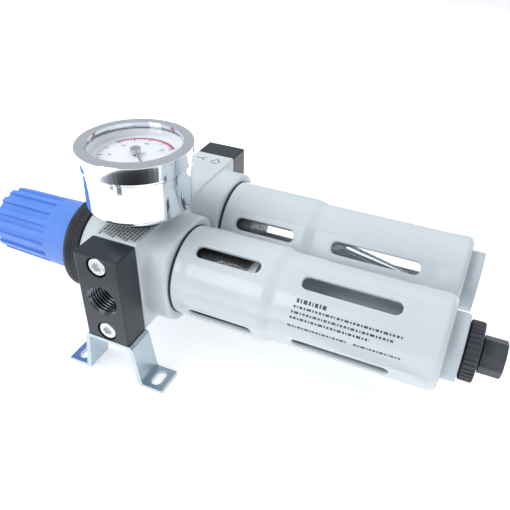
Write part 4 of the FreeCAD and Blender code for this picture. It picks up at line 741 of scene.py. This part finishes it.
def end_cap(name, unit):
    """The turned-in end of a guard, with the hole for the bowl's spigot."""
    outline = rounded([(117.6, 12.3, 0), (119.9, 12.3, 0.6), (119.9, 15.2, 0), (117.6, 15.6, 0)])
    return spun(name, unit, outline, 128)


NECK = rounded([(9.4, 15.1, 0), (9.4, 15.7, 0.1), (21.1, 15.7, 0), (21.1, 17.0, 0), (23.1, 17.0, 0),
                (23.1, 15.1, 0)])
for unit, side, turn in (("filter", "filter", -25.5), ("oiler", "lubricator", 32.0)):
    shell = guard_shell(side + "_guard_shell", unit, math.radians(turn))
    settle(shell, side + "_bowl", "guard_grey", guard_paint, side + "_guard")
    for label, part in (("end", end_cap(side + "_guard_end", unit)),
                        ("neck", spun(side + "_guard_neck", unit, NECK, 128))):
        settle(part, side + "_bowl", "guard_grey", guard_paint)

# ---------------------------------------------------------------- print on the filter's guard
# Short rows of strokes in the same dark ink, on the round part between two flats. They
# stand where the maker's notes are, and say nothing.

ROWS = ((40.2, 0.55, 1.45, 69.2, 79.8), (32.8, 0.5, 0.8, 68.6, 106.2), (26.0, 0.5, 0.8, 68.2, 103.6),
        (19.2, 0.5, 0.8, 68.0, 96.0), (8.6, 0.42, 0.62, 67.6, 89.0), (8.6, 0.42, 0.62, 91.2, 107.0))
STROKES = (0.9, 0.5, 1.3, 0.7, 0.4, 1.1, 0.6, 1.5, 0.5, 0.8)


def printed_rows():
    """Strokes on the guard's skin, each bent round it and a hair thick."""
    bars = []
    for row, (middle, gap, height, start, stop) in enumerate(ROWS):
        along, count = start, row * 3
        while along < stop:
            length = STROKES[count % len(STROKES)]
            end = min(along + length, stop)
            half = height / 2 / guard_reach(along)
            corners, lift = [], []
            for x, angle in ((along, -half), (end, -half), (end, half), (along, half)):
                way = math.radians(middle) + angle
                corners.append(round_axis("filter", x, guard_reach(x) - INK_SUNK, way))
                lift.append((0, -0.06 * math.cos(way), 0.06 * math.sin(way)))
            bars.append(ink_box(corners, lift))
            along, count = end + gap, count + 1
    return gathered(bars)


points, faces = printed_rows()
settle(made_of("guard_print", points, faces), "filter_bowl", "plate_black", print_ink)

# ---------------------------------------------------------------- drain
# A ribbed nylon wheel on a threaded shank opens the drain; an eight-sided hose nozzle turns with
# it. Both are moulded black.

dark_nylon = grained("dark_nylon", (0.032, 0.036, 0.046), (0.05, 0.055, 0.066), (0.40, 0.55), 0.35,
                     (160.0, 3500.0))


RIBS, RIB_DEEP = 36, 0.5


def wheel_ribs(along, out, angle):
    """Narrow grooves between the ribs of the wheel's rim, the same all along it."""
    if out < 9.6:
        return 0.0
    across = abs((angle / math.tau * RIBS) % 1.0 - 0.5) * 2
    return -RIB_DEEP * (1 - eased(across, 0.38, 0.62))


wheel = rounded([
    (113.0, 2.0, 0), (113.0, 4.05, 0.3), (125.4, 4.05, 0), (125.4, 9.9, 0), (125.45, 10.1, 0),
    (125.9, 10.5, 0), (126.4, 10.5, 0), (129.2, 10.5, 0), (129.75, 10.5, 0), (130.15, 10.1, 0),
    (130.2, 9.9, 0), (130.2, 2.0, 0),
])
settle(spun("drain_ribbed_wheel", "filter", wheel, 12 * RIBS, wheel_ribs, 40), "drain",
       "black_plastic", dark_nylon, "drain_wheel")


def nozzle_flats(along, out, angle):
    """Eight flats on the nozzle, with softened corners."""
    if out < 5.4 or along < 130.75:
        return 0.0
    half = math.pi / 8
    turn = abs((angle - half) % (2 * half) - half)
    flat = out * math.cos(half) / math.cos(half - turn)
    return min(flat, out * 0.988) - out


nozzle = rounded([(130.2, 2.0, 0), (130.2, 5.2, 0), (130.7, 5.2, 0), (130.8, 6.4, 0), (130.95, 6.6, 0),
                  (137.9, 6.6, 0), (138.3, 6.25, 0), (138.3, 2.0, 0)])
settle(spun("drain_nozzle", "filter", nozzle, 320, nozzle_flats, 30, math.radians(4.0)), "drain",
       "black_plastic", dark_nylon, "drain_outlet")

# ---------------------------------------------------------------- lubricator inside
# Oil rises through the clear siphon tube to the core and drips in the sight dome. The core is
# moulded nylon, the nozzle turned brass, and the flap is a rubber disc on a pin.

grey_nylon = grained("grey_nylon", (0.085, 0.09, 0.10), (0.12, 0.125, 0.135), (0.35, 0.5), 0.3)
dress(grey_nylon, "pickup_core")
dress(turned_brass, "drip_nozzle")

# ---------------------------------------------------------------- port plates
# Extruded and machined, black anodised. Each has a G 1/4 thread and is held by two M4
# socket screws, zinc plated, whose six-lobed sockets are cold forged.

anodised = grained("anodised", (0.009, 0.014, 0.022), (0.016, 0.022, 0.032), (0.30, 0.46), 0.3,
                   (110.0, 3800.0), coat=0.1)
dress(anodised, "inlet_plate", "outlet_plate")
AXES["bench"] = (0.0, 0.0, 0.0)


def put(piece, spot, way):
    """A piece made along the bench's X axis, laid along another direction at a spot."""
    turn = Vector((1, 0, 0)).rotation_difference(Vector(way)).to_matrix().to_4x4()
    piece.data.transform(Matrix.Translation([c * MM for c in spot]) @ turn)
    return piece


PITCH, THREAD_LONG, THREAD_CORE, SLEEVE = 1.337, 9.9, 5.72, 6.6


def thread(name, spot, way):
    """The port's thread: a helical ridge on a thin sleeve, as deep as the port."""
    steps, count = 72, int(THREAD_LONG / PITCH * 16)
    rings = []
    for row in range(count + 1):
        along = THREAD_LONG * row / count
        ring = []
        for step in range(steps):
            angle = math.tau * step / steps
            phase = abs((along / PITCH + step / steps) % 1.0 - 0.5) * 2
            ridge = 0.86 * min(1.0, max(0.0, 1.15 * phase - 0.08))
            entry = 0.8 * max(0.0, 1 - along / 1.0)
            ring.append(round_axis("bench", along, THREAD_CORE + max(ridge, entry), angle))
        rings.append(ring)
    for along in (THREAD_LONG, 0.0):
        rings.append([round_axis("bench", along, SLEEVE, math.tau * k / steps) for k in range(steps)])
    points, faces = skin_of(rings, closed=True)
    return put(made_of(name, points, faces, 50), spot, way)


cut_thread = marked("cut_thread", (0.17, 0.18, 0.205), (0.09, 0.10, 0.115), (0.12, 0.24),
                    (900.0, 4000.0, 900.0))
bright_zinc = marked("bright_zinc", (0.86, 0.87, 0.88), (0.72, 0.74, 0.76), (0.22, 0.36),
                     (2500.0, 2500.0, 2500.0), 0.1)


def socket_lobes(along, out, angle):
    """Six lobes in the wall of a screw's socket."""
    if not (1.5 < out < 2.2 and along < 1.95):
        return 0.0
    return -0.34 * (0.5 - 0.5 * math.cos(6 * angle))


screw = rounded([
    (1.8, 0.0, 0), (1.8, 1.75, 0.05), (0.3, 1.95, 0.05), (0.0, 2.2, 0.1), (0.0, 3.75, 0.7),
    (3.0, 3.75, 0), (3.0, 2.0, 0), (19.0, 2.0, 0.3), (19.0, 0.0, 0),
])
SCREW_RISE, SCREW_SUNK = 15.1, 0.25
for side, face, inward in (("inlet", -51.8, 1), ("outlet", 51.8, -1)):
    way = (0, inward, 0)
    settle(thread(side + "_thread", (0, face, AXIS_HEIGHT), way), "frame", "plate_black", cut_thread)
    for index, rise in enumerate((-SCREW_RISE, SCREW_RISE)):
        piece = spun("%s_screw_%d" % (side, index), "bench", screw, 96, socket_lobes, 35)
        put(piece, (0, face + SCREW_SUNK * inward, AXIS_HEIGHT + rise), way)
        stands_for = [side + "_plate_screws"] if index == 0 else []
        settle(piece, "frame", "screw_steel", bright_zinc, *stands_for)

# ---------------------------------------------------------------- feet
# Bent from 1.45 mm steel strip, zinc plated with a bluish passivation. Each has two slots, and
# two small screws hold it up against its port plate.

zinc_strip = marked("zinc_strip", (0.56, 0.65, 0.70), (0.45, 0.54, 0.60), (0.26, 0.42),
                    (900.0, 3200.0, 900.0), 0.25)
dress(zinc_strip, "inlet_foot", "outlet_foot")
dress(bright_zinc, "inlet_foot_screws", "outlet_foot_screws")
for side in ("inlet", "outlet"):
    soften = nodes[side + "_foot"].modifiers.new("worn_edges", "BEVEL")
    soften.width, soften.segments = 0.00022, 3
    soften.limit_method, soften.angle_limit = "ANGLE", math.radians(40)

# ---------------------------------------------------------------- gauge
# Chromed steel case with a bezel crimped on over it. White printed dial, steel needle with a
# brass arbor, and an acrylic window; a bourdon tube and a quadrant inside turn the needle.

chrome = marked("chrome", (0.80, 0.84, 0.875), (0.77, 0.81, 0.85), (0.035, 0.075),
                (400.0, 400.0, 400.0), 0.02)
CASE_FOOT, CRIMP, FRONT = 65.4, 82.3, 90.5
case = rounded([
    (CASE_FOOT, 6.4, 0), (CASE_FOOT, 20.2, 2.2), (82.0, 20.2, 0), (82.1, 20.1, 0), (82.1, 19.5, 0),
    (86.3, 19.5, 0), (86.3, 18.9, 0), (66.6, 18.9, 0), (66.6, 6.4, 0),
], 7)
settle(spun("gauge_cup", "gauge", case, 160), "frame", "chrome", chrome, "gauge_case")
bezel = rounded([
    (CRIMP, 19.6, 0), (CRIMP, 20.6, 0.15), (82.6, 20.8, 0.1), (83.2, 20.8, 0.3), (90.0, 21.7, 0.55),
    (FRONT, 20.0, 1.2), (FRONT, 18.0, 0.3), (90.1, 17.6, 0.2), (88.8, 17.6, 0), (88.8, 19.2, 0),
    (86.4, 19.2, 0), (86.4, 19.6, 0),
], 9)
settle(spun("crimped_bezel", "gauge", bezel, 192), "frame", "chrome", chrome, "gauge_bezel")
dial_print = grained("dial_print", (0.80, 0.83, 0.87), (0.78, 0.81, 0.86), (0.35, 0.42), 0.05)
dial_ink = grained("dial_ink", (0.03, 0.03, 0.04), (0.06, 0.06, 0.07), (0.4, 0.5), 0.05)
dial_ring = rounded([(84.02, 17.7, 0), (86.35, 17.9, 0.1), (86.35, 18.85, 0), (84.02, 18.85, 0)])
settle(spun("dial_ring", "gauge", dial_ring, 128), "frame", "dial_white", dial_print)
dial_red = grained("dial_red", (0.62, 0.05, 0.12), (0.56, 0.05, 0.11), (0.4, 0.5), 0.05)
needle_steel = marked("needle_steel", (0.62, 0.62, 0.60), (0.50, 0.50, 0.48), (0.2, 0.35),
                      (900.0, 900.0, 900.0))
acrylic = clear("acrylic", (0.96, 0.97, 0.99), (0.0, 0.02), 1.30)
dress(dial_print, "gauge_dial")
dress(needle_steel, "gauge_pointer")
dress(turned_brass, "gauge_quadrant", "gauge_movement", "gauge_stem", "bourdon_tube")
dress(acrylic, "gauge_glass")
nodes["gauge_glass"].visible_shadow = False
nodes["gauge_glass"].visible_diffuse = False
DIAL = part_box("gauge_dial")[1].z / MM
SWEEP, SCALE_END = 135, 14.6


def dial_way(clockwise, radius, height):
    """A point on the dial; its zero is up, which is towards the knob."""
    return round_axis("gauge", height, radius, math.pi - math.radians(clockwise))


def dial_arc(start, stop, inner, outer):
    """A flat printed band round the dial, a few hundredths thick."""
    low, high = DIAL - 0.01, DIAL + 0.04
    section = ((inner, low), (outer, low), (outer, high), (inner, high))
    rings = []
    steps = max(2, int(abs(stop - start) / 3) + 1)
    for step in range(steps + 1):
        turn = start + (stop - start) * step / steps
        rings.append([dial_way(turn, radius, height) for radius, height in section])
    points, faces = skin_of(rings, closed=False)
    return points, faces + [(0, 1, 2, 3), tuple(len(points) - k for k in (1, 2, 3, 4))]


ticks = []
for step in range(51):
    turn = SWEEP * (step / 25 - 1)
    half, inner = (0.9, 11.9) if step % 5 == 0 else (0.5, 12.9)
    ticks.append(dial_arc(turn - half, turn + half, inner, SCALE_END))
points, faces = gathered(ticks)
settle(made_of("dial_scale", points, faces), "frame", "dial_white", dial_ink)
points, faces = dial_arc(24, SWEEP, 13.4, SCALE_END - 0.1)
settle(made_of("dial_limit_arc", points, faces), "frame", "dial_white", dial_red)


def digit(label, turn, radius, height):
    """A number as a thin solid on the dial, upright for the reader."""
    text = bpy.data.curves.new("number_" + label, "FONT")
    text.body = label
    text.size = height * MM
    text.align_x, text.align_y = "CENTER", "CENTER"
    text.extrude = 0.00003
    writer = bpy.data.objects.new("number_" + label, text)
    bpy.context.scene.collection.objects.link(writer)
    bpy.context.view_layer.update()
    shape = writer.evaluated_get(bpy.context.evaluated_depsgraph_get())
    mesh = bpy.data.meshes.new_from_object(shape)
    bpy.data.objects.remove(writer)
    x, y, z = dial_way(turn, radius, DIAL)
    mesh.transform(Matrix.Translation((x * MM, y * MM, z * MM)) @ Matrix.Rotation(math.pi / 2, 4, "Z"))
    piece = bpy.data.objects.new("number_" + label, mesh)
    bpy.context.scene.collection.objects.link(piece)
    return settle(piece, "frame", "dial_white", dial_ink)


for label in range(0, 11, 2):
    digit(str(label), SWEEP * (label / 5 - 1), 9.6, 2.6)

# ---------------------------------------------------------------- studio
# Not part of the unit: a white table, a white surround, soft lamps, and cards on the table, dark
# in the middle and paler at both ends, that only the chrome mirrors.

scene = bpy.context.scene
scene.view_settings.view_transform = "Standard"
world = bpy.data.worlds.new("studio")
world.use_nodes = True
world.node_tree.nodes["Background"].inputs["Color"].default_value = (0.93, 0.96, 1.0, 1)
world.node_tree.nodes["Background"].inputs["Strength"].default_value = 0.58
scene.world = world
table_paint = grained("table_paint", (0.96, 0.96, 0.96), (0.955, 0.955, 0.955), (0.6, 0.7), 0.0)
table_glow = table_paint.node_tree.nodes["Principled BSDF"]
table_glow.inputs["Emission Color"].default_value = (1, 1, 1, 1)
table_glow.inputs["Emission Strength"].default_value = 0.36
TABLE_HALF, TABLE_DROP = 1500, 0.05
table_corners = ((-1, -1), (1, -1), (1, 1), (-1, 1))
table_points = [(x * TABLE_HALF, y * TABLE_HALF, -TABLE_DROP) for x, y in table_corners]
table = made_of("table", table_points, [(0, 1, 2, 3)])
table.modifiers.clear()
table.data.materials.append(table_paint)


def floor_card(name, inner, outer, start, stop, shade):
    """A band of card on the table round the gauge, which shows only in the chrome."""
    points = []
    for step in range(25):
        angle = math.radians(start + (stop - start) * step / 24)
        points += [round_axis("gauge", 0.3, radius, angle) for radius in (inner, outer)]
    faces = [(2 * step, 2 * step + 1, 2 * step + 3, 2 * step + 2) for step in range(24)]
    board = made_of(name, points, faces)
    board.modifiers.clear()
    face = grained(name + "_face", shade, [c * 1.5 for c in shade], (0.8, 0.9), 0.0)
    board.data.materials.append(face)
    board.visible_camera = False
    board.visible_diffuse = False
    board.visible_shadow = False
    board.visible_transmission = False


for step in range(12):
    away = abs(step - 6.5) / 6.5
    shade = 0.008 + 0.42 * away ** 3
    start = -134 + 10 * step
    floor_card("dark_card_%d" % step, 92, 125, start, start + 10, (shade, shade, shade * 1.1))
floor_card("dark_strip", 168, 200, -112, -105, (0.22, 0.22, 0.25))
floor_card("dark_strip_two", 162, 200, -98, -88, (0.14, 0.14, 0.17))


def lamp(name, spot, target, size, power, glossy=False):
    """A soft square lamp aimed at a point."""
    light = bpy.data.lights.new(name, "AREA")
    light.size = size * MM
    light.energy = power
    holder = bpy.data.objects.new(name, light)
    holder.location = [c * MM for c in spot]
    holder.rotation_euler = (Vector(target) - Vector(spot)).to_track_quat("-Z", "Y").to_euler()
    scene.collection.objects.link(holder)
    holder.visible_glossy = glossy


MIDDLE = (30, 0, 40)
lamp("key_lamp", (-260, -120, 520), MIDDLE, 320, 1.9)
lamp("fill_lamp", (380, -260, 420), MIDDLE, 400, 0.5)
lamp("back_lamp", (120, 460, 380), MIDDLE, 400, 1.2)
lamp("soft_box", (-150, -440, 330), (60, -30, 50), 260, 0.55, glossy=True)

azimuth, elevation, roll = (math.radians(v) for v in (23.79, 35.16, 1.06))
back = Vector((math.sin(azimuth) * math.cos(elevation), -math.cos(azimuth) * math.cos(elevation),
               math.sin(elevation)))
right = Vector((math.cos(azimuth), math.sin(azimuth), 0))
up = back.cross(right)
tilted = right * math.cos(roll) + up * math.sin(roll)
lifted = up * math.cos(roll) - right * math.sin(roll)
turn = Matrix((tilted, lifted, back)).transposed().to_4x4()
optics = bpy.data.cameras.new("camera")
optics.lens, optics.sensor_width = 41.09, 36.0
optics.clip_start = 0.01
eye = bpy.data.objects.new("camera", optics)
eye.matrix_world = Matrix.Translation((0.1180, -0.1801, 0.1779)) @ turn
scene.collection.objects.link(eye)
scene.camera = eye
